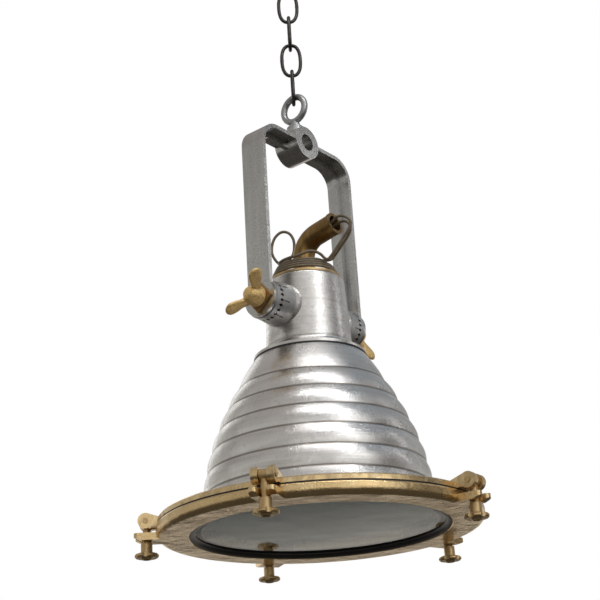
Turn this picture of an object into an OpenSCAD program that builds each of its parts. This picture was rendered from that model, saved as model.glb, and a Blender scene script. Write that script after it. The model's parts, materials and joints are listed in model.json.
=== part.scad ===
// Ship's cargo pendant lamp: chain, eyebolt, cast yoke, ribbed shade and clamped lens bezel.
// The origin is the inside crown of the top link, where the hook bears. X is the tilt axis.

/* [Chain] */
// Wire diameter of a link
link_wire = 5; // [4:0.5:6]
// Inside length of a link
link_in = 45; // [40:1:60]
// Outside width of a link
link_w = 31; // [28:1:38]
// Roundness of a link: how much less its end radius is than half its width
link_round = 2; // [1:0.5:3]
// Turn of the first link's plane about the vertical
link_turn = -50; // [-60:5:-40]

/* [Eyebolt] */
// Wire diameter of the eye
eye_wire = 9; // [7:0.5:11]
// Radius of the eye to the middle of its wire
eye_r = 18.5; // [16:0.5:24]
// Radius of the collar
collar_r = 12; // [10:0.5:14]
// Height of the collar
collar_h = 6; // [4:0.5:8]
// Height of the waist between collar and eye
eye_waist_h = 6.1; // [3:0.1:9]
// Height between eye and link at the crown, where the eye crosses the link at a slant
eye_gap = 1.4; // [1.2:0.1:2]
// Radius of the shank in the yoke
shank_r = 6; // [5:0.5:7]

/* [Yoke] */
// Distance from the tilt axis up to the boss axis
yoke_rise = 249; // [225:1:280]
// Distance over the outside faces of the arms
yoke_w = 186; // [180:2:200]
// Width of the band
arm_w = 37; // [30:1:44]
// Thickness of the band
arm_t = 5.6; // [4:0.2:7]
// Outside radius of the band's corners
corner_r = 32; // [26:1:40]
// Radius of the arms' round ends
arm_end_r = 24.5; // [20:0.5:26]
// Width of the stiffening rib
rib_w = 7; // [5:0.5:10]
// Height of the stiffening rib
rib_h = 8; // [5:0.5:10]
// Radius of the crossbar boss
boss_r = 23.5; // [20:0.5:27]
// Length of the crossbar boss
boss_len = 38.5; // [36:0.5:48]
// Radius of the bore through the boss
boss_bore_r = 12; // [9:0.5:14]

/* [Tilt joint] */
// Radius of the serrated discs
rosette_r = 26; // [24:0.5:28]
// Thickness of the yoke's serrated disc
yoke_rosette_t = 8; // [7:0.2:12]
// Number of teeth round a disc
teeth = 24; // [18:2:30]
// Depth of the teeth
tooth_h = 2.6; // [1:0.1:3]
// Width of the gap between two teeth
tooth_gap = 3.4; // [2:0.1:3.6]
// Radius of the pivot studs
stud_r = 6; // [5:0.5:7]
// Side of the square washers
washer_side = 29; // [26:1:34]
// Thickness of the square washers
washer_t = 3; // [2:0.5:4]
// Turn of the square washers about the tilt axis
washer_turn = 51; // [0:1:90]

/* [Wing nuts] */
// Radius of the hub at its foot
hub_r = 14; // [12:0.5:16]
// Length of the hub
hub_len = 21.5; // [19:0.5:26]
// Radius of a wing's paddle
paddle_r = 9.5; // [7:0.5:10.5]
// Thickness of a wing's paddle
paddle_t = 8; // [6:0.5:9]
// Radius of a wing's root
root_r = 6; // [4:0.5:7]
// Distance of a paddle's centre from the axis
paddle_reach = 26; // [23:0.5:30]
// Distance of a paddle's centre from the foot of the hub
paddle_out = 26; // [20:0.5:30]
// Turn of the left nut's wings about the tilt axis
wing_turn_left = 51; // [0:1:180]
// Turn of the right nut's wings about the tilt axis
wing_turn_right = 165; // [0:1:180]

/* [Neck] */
// Outside radius of the neck at its foot
neck_r = 55.5; // [53:0.5:57]
// How much smaller the neck's radius is at its top
neck_draft = 4; // [2:0.5:5]
// Height of the neck above the tilt axis
neck_above = 44; // [40:1:52]
// Height of the neck below the tilt axis
neck_below = 61; // [56:1:70]
// Radius of the neck's foot flange
foot_r = 72; // [68:0.5:76]
// Thickness of the neck's foot flange
foot_t = 4.5; // [4:0.5:6]
// Wall of the neck at its top
neck_wall = 4.5; // [4:0.5:6]
// Thickness of the neck's top flange
neck_top_t = 6; // [5:0.5:8]
// Radius of the opening in the top
neck_mouth_r = 38; // [34:0.5:40]
// Half the distance over the trunnion pads
pad_x = 56; // [54.5:0.5:58]
// Radius of the trunnion pads
pad_r = 29; // [27:0.5:30]
// Thickness of the gasket under the top plate
top_gasket_t = 1; // [0.5:0.5:2]
// Thickness of the top plate
top_plate_t = 3; // [2.5:0.5:4]
// Thickness of the gasket between neck and shade
neck_gasket_t = 2; // [1:0.5:3]

/* [Cable elbow] */
// Outside radius of the elbow
elbow_r = 14.5; // [13:0.5:16]
// Bore radius of the elbow
elbow_bore_r = 11; // [9:0.5:11.5]
// Bend angle of the elbow
elbow_angle = 80; // [70:1:90]
// Bend radius to the middle of the tube
elbow_bend_r = 30; // [26:1:34]
// Height of the elbow's straight foot above the plate
elbow_foot_h = 30.6; // [28:0.2:34]
// Length of the elbow's straight tail
elbow_tail = 32; // [26:1:36]

/* [Shade] */
// Height of the shade
shade_h = 198.2; // [180:0.2:210]
// Wall of the shade
shade_wall = 2.6; // [2:0.2:4]
// Thickness of the shade's two flat flanges
flange_t = 3; // [2.5:0.5:4]
// Height of the plain shoulder above the first groove
shoulder_h = 39.4; // [34:0.2:46]
// Height of one rib
rib_pitch = 26.8; // [22:0.2:26.8]
// Number of ribs below the shoulder
ribs = 6; // [4:1:6]
// Depth of the grooves between ribs
groove = 2.4; // [1:0.2:3.4]
// Width of the shade's foot flange, from the foot of the bell
shade_flange_w = 36; // [34:0.5:41]

/* [Rings] */
// Outside radius of the bezel ring
bezel_r = 200; // [196:1:206]
// Height of the bezel ring
bezel_h = 15.2; // [14.8:0.2:18]
// Width of the bezel's rim, from its edge to its opening
rim_w = 40; // [38:0.5:46]
// Thickness of the bezel's floor
bezel_floor = 4; // [3:0.5:5]
// Thickness of the upper ring
ring_t = 6.7; // [5:0.1:9]
// Width of the upper ring
ring_w = 35; // [32:0.5:36]
// Width of the upper ring left bare outside the shade's flange
ring_bare_w = 19; // [16:0.5:21]
// Thickness of the gasket between the rings
ring_gasket_t = 1.5; // [1:0.5:2.5]

/* [Lens] */
// How far the glass reaches over the bezel's opening
glass_lap = 6; // [5:0.5:8]
// Thickness of the glass
glass_t = 4.5; // [3:0.5:5]
// Thickness of the rubber lips
lip_t = 1.5; // [1:0.5:2]
// Width of the rubber's upper lip
lip_w = 20; // [14:0.5:22]
// How far the rubber's bead stands into the bezel's opening
lens_bead_w = 8; // [5:0.5:9]

/* [Clamps] */
// Number of clamps
clamps = 5; // [5]
// Direction of the first clamp
clamp_turn = 131; // [115:1:145]
// How far outside the bezel's edge the clamp pins stand
clamp_out = 12; // [11:0.5:16]
// Radius of the clamp pins
pin_r = 3.5; // [3:0.5:4]
// Radius of the ears
ear_r = 9.5; // [9:0.5:10.5]
// Thickness of one ear
ear_t = 8.2; // [7:0.2:12]
// Gap between a pair of ears
ear_gap = 10.6; // [10:0.2:14]
// Shank radius of a swing bolt
bolt_r = 4.5; // [4:0.5:5]
// Distance from a pin to the tip of its bolt
bolt_len = 39.6; // [38:0.2:44]
// Width of a bezel lug
lug_w = 31; // [27:0.5:33]
// Thickness of a bezel lug
lug_t = 8.8; // [8:0.2:11.4]
// How far a lug's prongs reach past the pin
lug_out = 14.5; // [8:0.5:14.5]
// How much the prongs' underside rises towards their ends
lug_rise = 4; // [4:0.2:6]
// Barrel radius of a hand nut
barrel_r = 7; // [6.5:0.5:8]
// Height of a hand nut
nut_h = 20.8; // [19:0.2:24]
// Flange radius of a hand nut
nut_flange_r = 14.6; // [13:0.2:16]

/* [Lampholder] */
// Radius of the lampholder
holder_r = 24; // [22:0.5:26]
// Height of the lampholder
holder_h = 50; // [46:1:52]
// Radius of the bulb's cap
cap_r = 12.9; // [12.5:0.1:13]
// Greatest radius of the bulb
bulb_r = 32; // [28:0.5:36]
// Length of the bulb below its cap
bulb_len = 100; // [90:1:110]

/* [Leads] */
// Diameter of a lead
lead_d = 3.8; // [3.4:0.1:3.8]
// Turns of the coil
coil_turns = 4; // [3:0.5:4]
// Radius of the coil's lowest turn
coil_r = 44; // [43:0.5:45]
// Radius lost in each turn
coil_draw = 2; // [1.5:0.25:2]
// Height gained in each turn
coil_rise = 3.9; // [3.9:0.1:4.2]

/* [Fits] */
// Running clearance of a pin in its hole
fit = 0.06; // [0.02:0.01:0.09]
// Clearance of a screw in its hole
screw_fit = 0.15; // [0.1:0.05:0.3]
// Gap between pieces that turn past each other
gap = 0.4; // [0.3:0.05:0.5]

/* [Hidden] */
$fn = 96;
over = 0.5;
// Length that one rounded piece runs on into the next
seam_lap = 0.3;
// Step where two round pieces of one casting run into each other
step = 0.1;

// Colours
ALUMINIUM = "#b9bcc0";
CAST = "#807d79";
BRASS = "#b98f4e";
BRONZE = "#5f4123";
RUBBER = "#1b1b1c";
IRON = "#35322f";
STEEL = "#93969a";
PORCELAIN = "#e8e4da";
LEAD = "#6b5e4c";

// Chain: each link hangs in the one above
link_r = (link_w - link_wire) / 2;
link_top = (link_in + link_wire) / 2;
link_end_r = link_r - link_round;
link_side_r = (pow(link_r, 2) + pow(link_top - link_end_r, 2) - pow(link_end_r, 2))
  / (2 * link_round);
link_side_a = atan2(link_top - link_end_r, link_side_r - link_r);
link_lap = 2;
link_gap = 0.3;
link_step = link_in - link_gap;
LINKS = 4;
function z_link(k) = -link_in / 2 - (k - 1) * link_step;
z_last_bar = z_link(LINKS) - link_in / 2;

// Eyebolt
z_eye = z_last_bar + eye_gap + eye_wire / 2 - eye_r;
z_waist = z_eye - eye_r;
z_pad = z_waist - eye_wire / 2 - eye_waist_h - collar_h;
pad_rise = 1;
z_boss = z_pad - pad_rise - boss_r;

// Radii that follow the bezel's edge
ring_step = 2;
ring_r = bezel_r - ring_step;
ring_in_r = ring_r - ring_w;
shade_flange_r = ring_r - ring_bare_w;
shade_r = shade_flange_r - shade_flange_w;
opening_r = bezel_r - rim_w;
glass_r = opening_r + glass_lap;
lip_in_r = glass_r - lip_w;
clamp_r = bezel_r + clamp_out;

// Yoke
z_pivot = z_boss - yoke_rise;
z_bar_top = z_boss + arm_t / 2;
arm_x = yoke_w / 2;
arm_in_x = arm_x - arm_t;
z_rib_foot = z_pivot + rosette_r + 3;
rosette_x = arm_in_x - yoke_rosette_t;
head_rosette_x = rosette_x - gap;
rosette_root_r = pad_r - 0.5;
FLUTES = 8;
flute_r = 1;
flute_turn = 15;
tooth_in_r = 16;
washer_x = arm_x + washer_t;
wing_x = washer_x + gap;
stud_in_x = 32;
stud_nut_h = 9;
stud_nut_r = 10.4;
stud_seat_x = stud_in_x + 1 + stud_nut_h;
stud_end_x = wing_x + hub_len - 5.5;
stud_seat_r = 15;
root_out = 8;
root_in = 2;

// Neck
neck_top_r = neck_r - neck_draft;
neck_in_r = neck_top_r - neck_wall;
z_neck_top = z_pivot + neck_above;
z_neck_foot = z_pivot - neck_below;
neck_edge_r = 3;
cove_r = foot_r - neck_r - 2;
cove_rise = 0.7;
foot_screw_r = 3;
foot_screw_pcr = 60.5;
FOOT_SCREWS = 6;
z_plate = z_neck_top + top_gasket_t;
z_plate_top = z_plate + top_plate_t;
plate_r = neck_top_r - neck_edge_r;
plate_screw_r = 2;
plate_screw_pcr = (neck_mouth_r + plate_r) / 2;
PLATE_SCREWS = 6;
plate_screw_len = 11;
plate_head_r = 4;

// Elbow
z_bend = z_plate_top + elbow_foot_h;
elbow_collar_r = 20;
elbow_collar_h = 5;
elbow_spigot = 12;
locknut_h = 6;
locknut_r = 21;
bead = 0.9;
bead_h = 3;

// Shade
z_shade_top = z_neck_foot - neck_gasket_t;
z_shade_foot = z_shade_top - shade_h;
shade_mouth_r = neck_in_r + 2;
STEPS = 8;
bell_power = 0.93;
shade_screw_pcr = shade_flange_r - 8;
shade_screw_r = 2;
SHADE_SCREWS = 10;
slot_t = 0.9;
slot_depth = 0.8;
pan_h = 2.6;
pan_r = 4;
pan_draw = 1;

// Rings and lens
z_ring_low = z_shade_foot - ring_t;
z_seam = z_ring_low - ring_gasket_t;
z_bezel_low = z_seam - bezel_h;
z_floor = z_bezel_low + bezel_floor;
z_glass = z_floor + lip_t;
z_lip = z_glass + glass_t;
rubber_r = glass_r + 5.5;
bezel_wall_in = rubber_r + 0.5;
bezel_wall_out = bezel_wall_in + 5;
lens_bead_gap = 0.2;
z_lens_bead = z_bezel_low + 0.6;
clip_h = 2;
clip_gap = 0.2;
z_clip = z_lip + lip_t + clip_gap;
clip_w = 28;
clip_in_r = lip_in_r + 1;
clip_block = 11;
clip_rise = 6.5;
z_clip_top = z_seam + clip_rise;
clip_screw_r = 1.5;
clip_head_h = 1.2;
clip_head_r = 2.4;
clip_bite = 4;
clip_screw_at = (bezel_wall_in + bezel_wall_out) / 2;

// Clamps
z_pin = z_shade_foot + gap;
eye_bolt_r = ear_r - 3;
eye_bolt_t = ear_gap - 3 * gap;
clevis_w = ear_gap + 2 * ear_t;
pin_out = 1;
pin_len = clevis_w + 2 * pin_out;
z_lug = z_bezel_low + lug_t;
slot_w = 2 * bolt_r + 1.6;
prong_r = (lug_w - slot_w) / 4;
lug_reach = clamp_r + lug_out;
lug_flat = clamp_r + bolt_r;
lug_root = 8;
z_nut = z_bezel_low - 0.5;
nut_flange_t = 5;
nut_nub_h = 2;
SCALLOPS = 6;
function clamp_dir(k) = clamp_turn + (k - 1) * 360 / clamps;

// Lampholder
z_bracket = z_neck_foot + 13.6;
bracket_t = 3;
bracket_w = 24;
bracket_reach = sqrt(pow(neck_in_r - gap, 2) - pow(bracket_w / 2, 2));
bracket_screw_y = bracket_reach - 4;
bracket_screw_r = 2;
bracket_post_r = 6;
bracket_post_h = 12;
shell_in_r = cap_r + fit;
shell_t = 0.8;
shell_h = 32;
cap_h = 26;
glass_wall = 1.2;
bulb_neck_r = 12;
z_cap = z_bracket - holder_h + 8;
block_w = 36;
block_d = 18;
block_h = 14;
z_block_top = z_bracket + bracket_t + block_h;
holder_lead_x = 12;
holder_lead_r = 1.2;

// Leads
lead_x = 4;
coil_h = coil_turns * coil_rise;
z_coil = z_plate_top + lead_d / 2 + 0.3;
coil_start = -96;
RINGS_PER_TURN = 24;
// Route points of the leads, in millimetres from the axis and above the top plate
FIRST = [
  [4, -2, 43], [4, -6, 50], [4, -13, 56], [4, -23, 60], [4, -34, 62],
  [4, -45, 63.5], [3, -55, 64.5], [2, -64, 66], [3, -72, 64], [4.5, -76.5, 58],
  [5, -76, 50], [5.5, -70, 42.5], [6, -61, 35.5], [7, -53, 30], [7.5, -46.5, 25.5],
  [6.5, -41, 21]
];
SECOND = [
  [-4, -2, 43], [-4, -6, 50], [-4, -13, 56], [-4, -23, 60], [-4, -34, 62],
  [-4, -45, 63.5], [-5, -55, 66], [-6.5, -65, 70], [-4.5, -74, 68.5], [-2, -81, 62.5],
  [-1, -82, 55], [-2, -76.5, 46.5], [-3, -69, 38.5], [-4, -61, 30], [-5.5, -53, 21.5],
  [-7.5, -46.5, 15.5], [-10, -42.5, 17.5], [-13, -39.5, 22.5], [-18.5, -35, 26.5],
  [-25, -29.5, 27], [-30, -24, 24.5],
  [-34, -17, 22.3], [-37, -8, 21.6], [-37.5, 3, 21.4], [-34, 13, 22], [-27, 20.5, 24.5],
  [-17, 23, 29], [-8, 21, 35], [0, 18, 45], [2, 16.5, 57], [1.5, 17, 68],
  [-1.5, 20.5, 76.5], [-6, 26.5, 80], [-10.5, 32, 77.5], [-14.5, 37, 70], [-16.5, 40, 59],
  [-16.5, 40, 48], [-13, 37, 38.5], [-6, 34, 32], [3, 33.5, 27], [12, 32.5, 22.5],
  [19, 30.5, 20.2], [26, 26, 19.6]
];

// Shapes used by several pieces

module ring(r_out, r_in, h) {
  difference() {
    cylinder(r = r_out, h = h);
    translate([0, 0, -over]) cylinder(r = r_in, h = h + 2 * over);
  }
}

// A cylinder along X, from x0 to x1
module bar_x(r, x0, x1) {
  translate([x0, 0, 0]) rotate([0, 90, 0]) cylinder(r = r, h = x1 - x0);
}

// The right side as drawn, or the left side as its mirror image
module on_side(side) {
  if (side > 0) translate([0, 0, z_pivot]) children();
  else translate([0, 0, z_pivot]) mirror([1, 0, 0]) children();
}

// Screwdriver slot across a head whose top is at a height
module slot(r, top) {
  translate([-r - over, -slot_t / 2, top - slot_depth])
    cube([2 * (r + over), slot_t, slot_depth + over]);
}

// Copies spaced evenly round the Z axis
module around(count, start = 0) {
  for (k = [0 : count - 1]) rotate([0, 0, start + k * 360 / count]) children();
}

// Radial grooves that leave the teeth standing, cut below a face that looks along +X
module tooth_gaps() {
  for (k = [0 : teeth - 1])
    rotate([k * 360 / teeth, 0, 0]) translate([0, 0, tooth_in_r])
      linear_extrude(rosette_r)
        polygon([[over, -tooth_gap * 0.6], [over, tooth_gap * 0.6],
                 [-tooth_h, tooth_gap * 0.3], [-tooth_h, -tooth_gap * 0.3]]);
}

// A round plate with a rounded rim, standing on its edge
module paddle(r, t) {
  rotate([90, 0, 0]) rotate_extrude($fn = 32) {
    translate([0, -t / 2]) square([r - t / 2, t]);
    intersection() {
      translate([r - t / 2, 0]) circle(d = t, $fn = 12);
      translate([0, -t]) square([r, 2 * t]);
    }
  }
}

// Tube swept along points, each ring square to the route
function unit(v) = v / norm(v);
function tangent(p, i) =
  unit(p[min(i + 1, len(p) - 1)] - p[max(i - 1, 0)]);
function square_to(v, t) = unit(v - (v * t) * t);
function frames(p, first) =
  [for (i = 0, u = square_to(first, tangent(p, 0)); i < len(p);
        i = i + 1, u = square_to(u, tangent(p, min(i, len(p) - 1)))) u];

module tube(p, d, sides, first = [1, 0.13, 0.07]) {
  u = frames(p, first);
  points = [for (i = [0 : len(p) - 1]) let (t = tangent(p, i), w = cross(t, u[i]))
    for (s = [0 : sides - 1]) let (a = s * 360 / sides)
      p[i] + d / 2 * (cos(a) * u[i] + sin(a) * w)];
  last = (len(p) - 1) * sides;
  walls = [for (i = [0 : len(p) - 2]) for (s = [0 : sides - 1])
    let (a = i * sides + s, b = i * sides + (s + 1) % sides) [a, a + sides, b + sides, b]];
  start = [for (s = [0 : sides - 1]) s];
  end = [for (s = [sides - 1 : -1 : 0]) last + s];
  polyhedron(points, concat([start], walls, [end]), convexity = 10);
}

// Chain, eyebolt and yoke

module chain_link(k) {
  color(IRON) translate([0, 0, z_link(k)]) rotate([90, 0, link_turn + 90 * (k - 1)])
    for (flip = [0, 180]) rotate([0, 0, flip]) {
      translate([0, link_top - link_end_r]) rotate([0, 0, link_side_a - link_lap])
        rotate_extrude(angle = 180 - 2 * link_side_a + 2 * link_lap)
          translate([link_end_r, 0]) circle(d = link_wire);
      translate([link_r - link_side_r, 0]) rotate([0, 0, -link_side_a])
        rotate_extrude(angle = 2 * link_side_a)
          translate([link_side_r, 0]) circle(d = link_wire - 2 * step);
    }
}

module eyebolt() {
  waist_r = eye_wire / 2 + 2.5;
  color(STEEL) {
    translate([0, 0, z_eye]) rotate([0, 90, 0])
      rotate_extrude() translate([eye_r, 0]) circle(d = eye_wire);
    translate([0, 0, z_pad]) rotate_extrude() polygon([
      [0, 0], [collar_r, 0], [collar_r, collar_h - 1], [collar_r - 1, collar_h],
      [waist_r, collar_h], [waist_r, collar_h + eye_waist_h - 1],
      [eye_wire / 2 - 0.5, z_waist - z_pad], [0, z_waist - z_pad]
    ]);
    translate([0, 0, z_boss + boss_bore_r + gap])
      cylinder(r = shank_r, h = z_pad - z_boss - boss_bore_r - gap + over);
  }
}

// Filled arch in XZ, open at the foot
module arch(half_w, top, foot, r) {
  translate([-half_w, foot]) square([2 * half_w, top - r - foot]);
  translate([r - half_w, foot]) square([2 * (half_w - r), top - foot]);
  for (side = [-1, 1]) translate([side * (half_w - r), top - r]) circle(r);
}

// Arch-shaped band of one thickness
module arch_band(half_w, top, foot, r, t, w) {
  rotate([90, 0, 0]) linear_extrude(w, center = true) difference() {
    arch(half_w, top, foot, r);
    arch(half_w - t, top - t, foot - over, r - t);
  }
}

module yoke() {
  color(CAST) difference() {
    union() {
      arch_band(arm_x, z_bar_top, z_pivot, corner_r, arm_t, arm_w);
      arch_band(arm_in_x + over, z_bar_top - arm_t + over, z_rib_foot,
                corner_r - arm_t + over, rib_h + over, rib_w);
      translate([0, 0, z_boss]) rotate([90, 0, 0])
        cylinder(r = boss_r, h = boss_len, center = true);
      translate([0, 0, z_boss]) cylinder(r = collar_r + 1, h = z_pad - z_boss);
      for (side = [-1, 1]) on_side(side) bar_x(arm_end_r, arm_in_x, arm_x);
    }
    translate([0, 0, z_boss]) rotate([90, 0, 0])
      cylinder(r = boss_bore_r, h = boss_len + 2 * over, center = true);
    translate([0, 0, z_boss]) cylinder(r = shank_r + screw_fit, h = z_pad - z_boss + over);
    for (side = [-1, 1]) on_side(side) bar_x(stud_r + fit, arm_in_x - over, arm_x + over);
  }
}

module yoke_rosette(side) {
  color(CAST) on_side(side) difference() {
    bar_x(rosette_r, rosette_x, arm_in_x);
    bar_x(stud_r + fit, rosette_x - over, arm_in_x + over);
    translate([rosette_x, 0, 0]) mirror([1, 0, 0]) tooth_gaps();
  }
}

module pivot_washer(side) {
  color(BRONZE) on_side(side) difference() {
    translate([arm_x, 0, 0]) rotate([washer_turn, 0, 0])
      translate([0, -washer_side / 2, -washer_side / 2])
        cube([washer_t, washer_side, washer_side]);
    bar_x(stud_r + fit, arm_x - over, washer_x + over);
  }
}

module wing_nut(side) {
  hub = [
    [stud_r + fit, 0], [hub_r, 0], [hub_r, 2], [hub_r - 1.2, 7], [hub_r - 2.6, 13],
    [hub_r - 5.5, hub_len - 3.5], [hub_r - 9, hub_len - 0.8], [0, hub_len],
    [0, hub_len - 4], [stud_r + fit, hub_len - 4]
  ];
  turn = side > 0 ? wing_turn_right : wing_turn_left;
  color(BRASS) on_side(side) translate([wing_x, 0, 0]) {
    rotate([0, 90, 0]) rotate_extrude() polygon(hub);
    for (half = [0, 180]) rotate([turn + half, 0, 0]) hull() {
      translate([paddle_out, 0, paddle_reach]) paddle(paddle_r, paddle_t);
      translate([root_out, 0, hub_r - root_in]) paddle(root_r, root_r);
    }
  }
}

// Head: trunnions, neck, top plate and elbow

module pivot_stud(side) {
  color(STEEL) on_side(side) bar_x(stud_r, stud_in_x, stud_end_x);
}

module stud_nuts() {
  color(STEEL) for (side = [-1, 1]) on_side(side) difference() {
    translate([stud_seat_x - stud_nut_h, 0, 0]) rotate([0, 90, 0])
      cylinder(r = stud_nut_r, h = stud_nut_h, $fn = 6);
    bar_x(stud_r + fit, stud_in_x - over, stud_seat_x + over);
  }
}

module head_rosette(side) {
  color(ALUMINIUM) on_side(side) difference() {
    translate([pad_x, 0, 0]) rotate([0, 90, 0])
      cylinder(r1 = rosette_root_r, r2 = rosette_r, h = head_rosette_x - pad_x);
    for (k = [0 : FLUTES - 1]) rotate([flute_turn + k * 360 / FLUTES, 0, 0])
      translate([0, 0, rosette_r + flute_r / 2]) bar_x(flute_r, pad_x - over, head_rosette_x + over);
    bar_x(stud_r + fit, pad_x - over, head_rosette_x + over);
    translate([head_rosette_x, 0, 0]) tooth_gaps();
  }
}

// Outline of the neck's outside, from the foot up; heights are above the foot
module neck_solid() {
  top = neck_above + neck_below;
  cove = [for (a = [0 : 10 : 90])
    [foot_r - 1.5 - cove_r * sin(a), foot_t + cove_r * (1 - cos(a)) * cove_rise]];
  bead_z = foot_t + cove_r * cove_rise;
  rotate_extrude() polygon(concat(
    [[0, 0], [foot_r, 0], [foot_r, foot_t - 0.8]], cove,
    [[neck_r + 0.8, bead_z + 0.6], [neck_r + 0.8, bead_z + 1.4], [neck_r, bead_z + 2.2]],
    [for (a = [0 : 15 : 90])
      [neck_top_r - neck_edge_r * (1 - cos(a)), top - neck_edge_r * (1 - sin(a))]],
    [[0, top]]
  ));
}

module neck_housing() {
  color(ALUMINIUM) difference() {
    union() {
      translate([0, 0, z_neck_foot]) difference() {
        neck_solid();
        translate([0, 0, -over])
          cylinder(r = neck_in_r, h = neck_above + neck_below - neck_top_t + over);
      }
      for (side = [-1, 1]) on_side(side) intersection() {
        bar_x(pad_r, stud_seat_x, pad_x);
        union() {
          bar_x(stud_seat_r, 0, pad_x);
          bar_x(pad_r, neck_in_r - 1, pad_x);
        }
      }
      for (side = [-1, 1]) translate([0, side * bracket_screw_y, z_bracket + bracket_t])
        intersection() {
          translate([-bracket_post_r, -bracket_post_r, 0])
            cube([2 * bracket_post_r, 2 * bracket_post_r, bracket_post_h]);
          translate([0, -side * bracket_screw_y, 0])
            cylinder(r = neck_in_r + 1, h = bracket_post_h);
        }
    }
    translate([0, 0, z_neck_top - neck_top_t - over])
      cylinder(r = neck_mouth_r, h = neck_top_t + 2 * over);
    for (side = [-1, 1]) on_side(side) bar_x(stud_r + fit, stud_seat_x - over, pad_x + over);
    around(PLATE_SCREWS, 30) translate([plate_screw_pcr, 0, z_plate_top - plate_screw_len - over])
      cylinder(r = plate_screw_r + screw_fit, h = plate_screw_len + over);
    around(FOOT_SCREWS, 30) translate([foot_screw_pcr, 0, z_neck_foot - over])
      cylinder(r = foot_screw_r + screw_fit, h = foot_t + over);
    for (side = [-1, 1]) translate([0, side * bracket_screw_y, z_bracket + bracket_t - over])
      cylinder(r = bracket_screw_r + screw_fit, h = bracket_post_h - 2);
  }
}

module top_gasket() {
  color(RUBBER) translate([0, 0, z_neck_top]) difference() {
    ring(plate_r, neck_mouth_r, top_gasket_t);
    around(PLATE_SCREWS, 30) translate([plate_screw_pcr, 0, -over])
      cylinder(r = plate_screw_r + screw_fit, h = top_gasket_t + 2 * over);
  }
}

module top_plate() {
  color(BRASS) translate([0, 0, z_plate]) difference() {
    ring(plate_r, elbow_r + screw_fit, top_plate_t);
    around(PLATE_SCREWS, 30) translate([plate_screw_pcr, 0, 0]) {
      translate([0, 0, -over])
        cylinder(r = plate_screw_r + screw_fit, h = top_plate_t + 2 * over);
      translate([0, 0, top_plate_t - plate_head_r + plate_screw_r])
        cylinder(r1 = plate_screw_r + screw_fit, r2 = plate_head_r + screw_fit,
                 h = plate_head_r - plate_screw_r);
    }
  }
}

module top_plate_screws() {
  color(BRASS) around(PLATE_SCREWS, 30) translate([plate_screw_pcr, 0, z_plate_top]) {
    translate([0, 0, -plate_screw_len]) cylinder(r = plate_screw_r, h = plate_screw_len - 1);
    difference() {
      translate([0, 0, plate_screw_r - plate_head_r - 0.1])
        cylinder(r1 = plate_screw_r, r2 = plate_head_r, h = plate_head_r - plate_screw_r);
      slot(plate_head_r, -0.1);
    }
  }
}

// Path of the elbow as a solid rod, with its bend a step thinner than its straight ends
module elbow_rod(r, foot, tail) {
  translate([0, 0, z_bend - foot]) cylinder(r = r, h = foot + seam_lap);
  translate([0, -elbow_bend_r, z_bend]) rotate([90, 0, 90])
    rotate_extrude(angle = elbow_angle) translate([elbow_bend_r, 0]) circle(r = r - step);
  elbow_end() translate([0, 0, -seam_lap]) cylinder(r = r, h = tail + seam_lap);
}

module elbow_end() {
  translate([0, -elbow_bend_r * (1 - cos(elbow_angle)), z_bend + elbow_bend_r * sin(elbow_angle)])
    rotate([elbow_angle, 0, 0]) children();
}

module cable_elbow() {
  foot = elbow_foot_h + elbow_spigot;
  color(BRONZE) difference() {
    union() {
      elbow_rod(elbow_r, foot, elbow_tail);
      translate([0, 0, z_plate_top]) cylinder(r = elbow_collar_r, h = elbow_collar_h);
      elbow_end() translate([0, 0, elbow_tail - bead_h]) cylinder(r = elbow_r + bead, h = bead_h);
    }
    elbow_rod(elbow_bore_r, foot + over, elbow_tail + over);
  }
}

module elbow_locknut() {
  color(BRONZE) translate([0, 0, z_plate - locknut_h]) difference() {
    cylinder(r = locknut_r, h = locknut_h, $fn = 6);
    translate([0, 0, -over]) cylinder(r = elbow_r + screw_fit, h = locknut_h + 2 * over);
  }
}

module neck_gasket() {
  color(RUBBER) translate([0, 0, z_shade_top]) difference() {
    ring(foot_r + 0.5, shade_mouth_r, neck_gasket_t);
    around(FOOT_SCREWS, 30) translate([foot_screw_pcr, 0, -over])
      cylinder(r = foot_screw_r + screw_fit, h = neck_gasket_t + 2 * over);
  }
}

module neck_screws() {
  reach = flange_t + neck_gasket_t + foot_t - 0.5;
  color(STEEL) around(FOOT_SCREWS, 30)
    translate([foot_screw_pcr, 0, z_shade_top - flange_t]) {
      translate([0, 0, -pan_h - 1]) cylinder(r = foot_screw_r + 2, h = pan_h + 1);
      cylinder(r = foot_screw_r, h = reach);
    }
}

// Shade

// Radius of the bell at a depth below its top, without the ribs
function bell(d) =
  foot_r + (shade_r - foot_r) * sin(90 * pow(min(d / (shade_h - flange_t), 1), bell_power));
// Bulge of each rib between its grooves, nothing in the middle and the full depth at a groove
function dip(d) =
  let (f = d < shoulder_h ? d / shoulder_h : (d - shoulder_h) / rib_pitch)
  groove * (1 - abs(sin(180 * f)));
shoulder = [for (s = [0 : STEPS]) s * shoulder_h / STEPS];
rib_depths = [for (s = [1 : ribs * STEPS]) shoulder_h + s * rib_pitch / STEPS];
bell_end = shade_h - flange_t;
depths = concat(shoulder, [for (d = rib_depths) if (d < bell_end - 1) d], [bell_end]);

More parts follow.
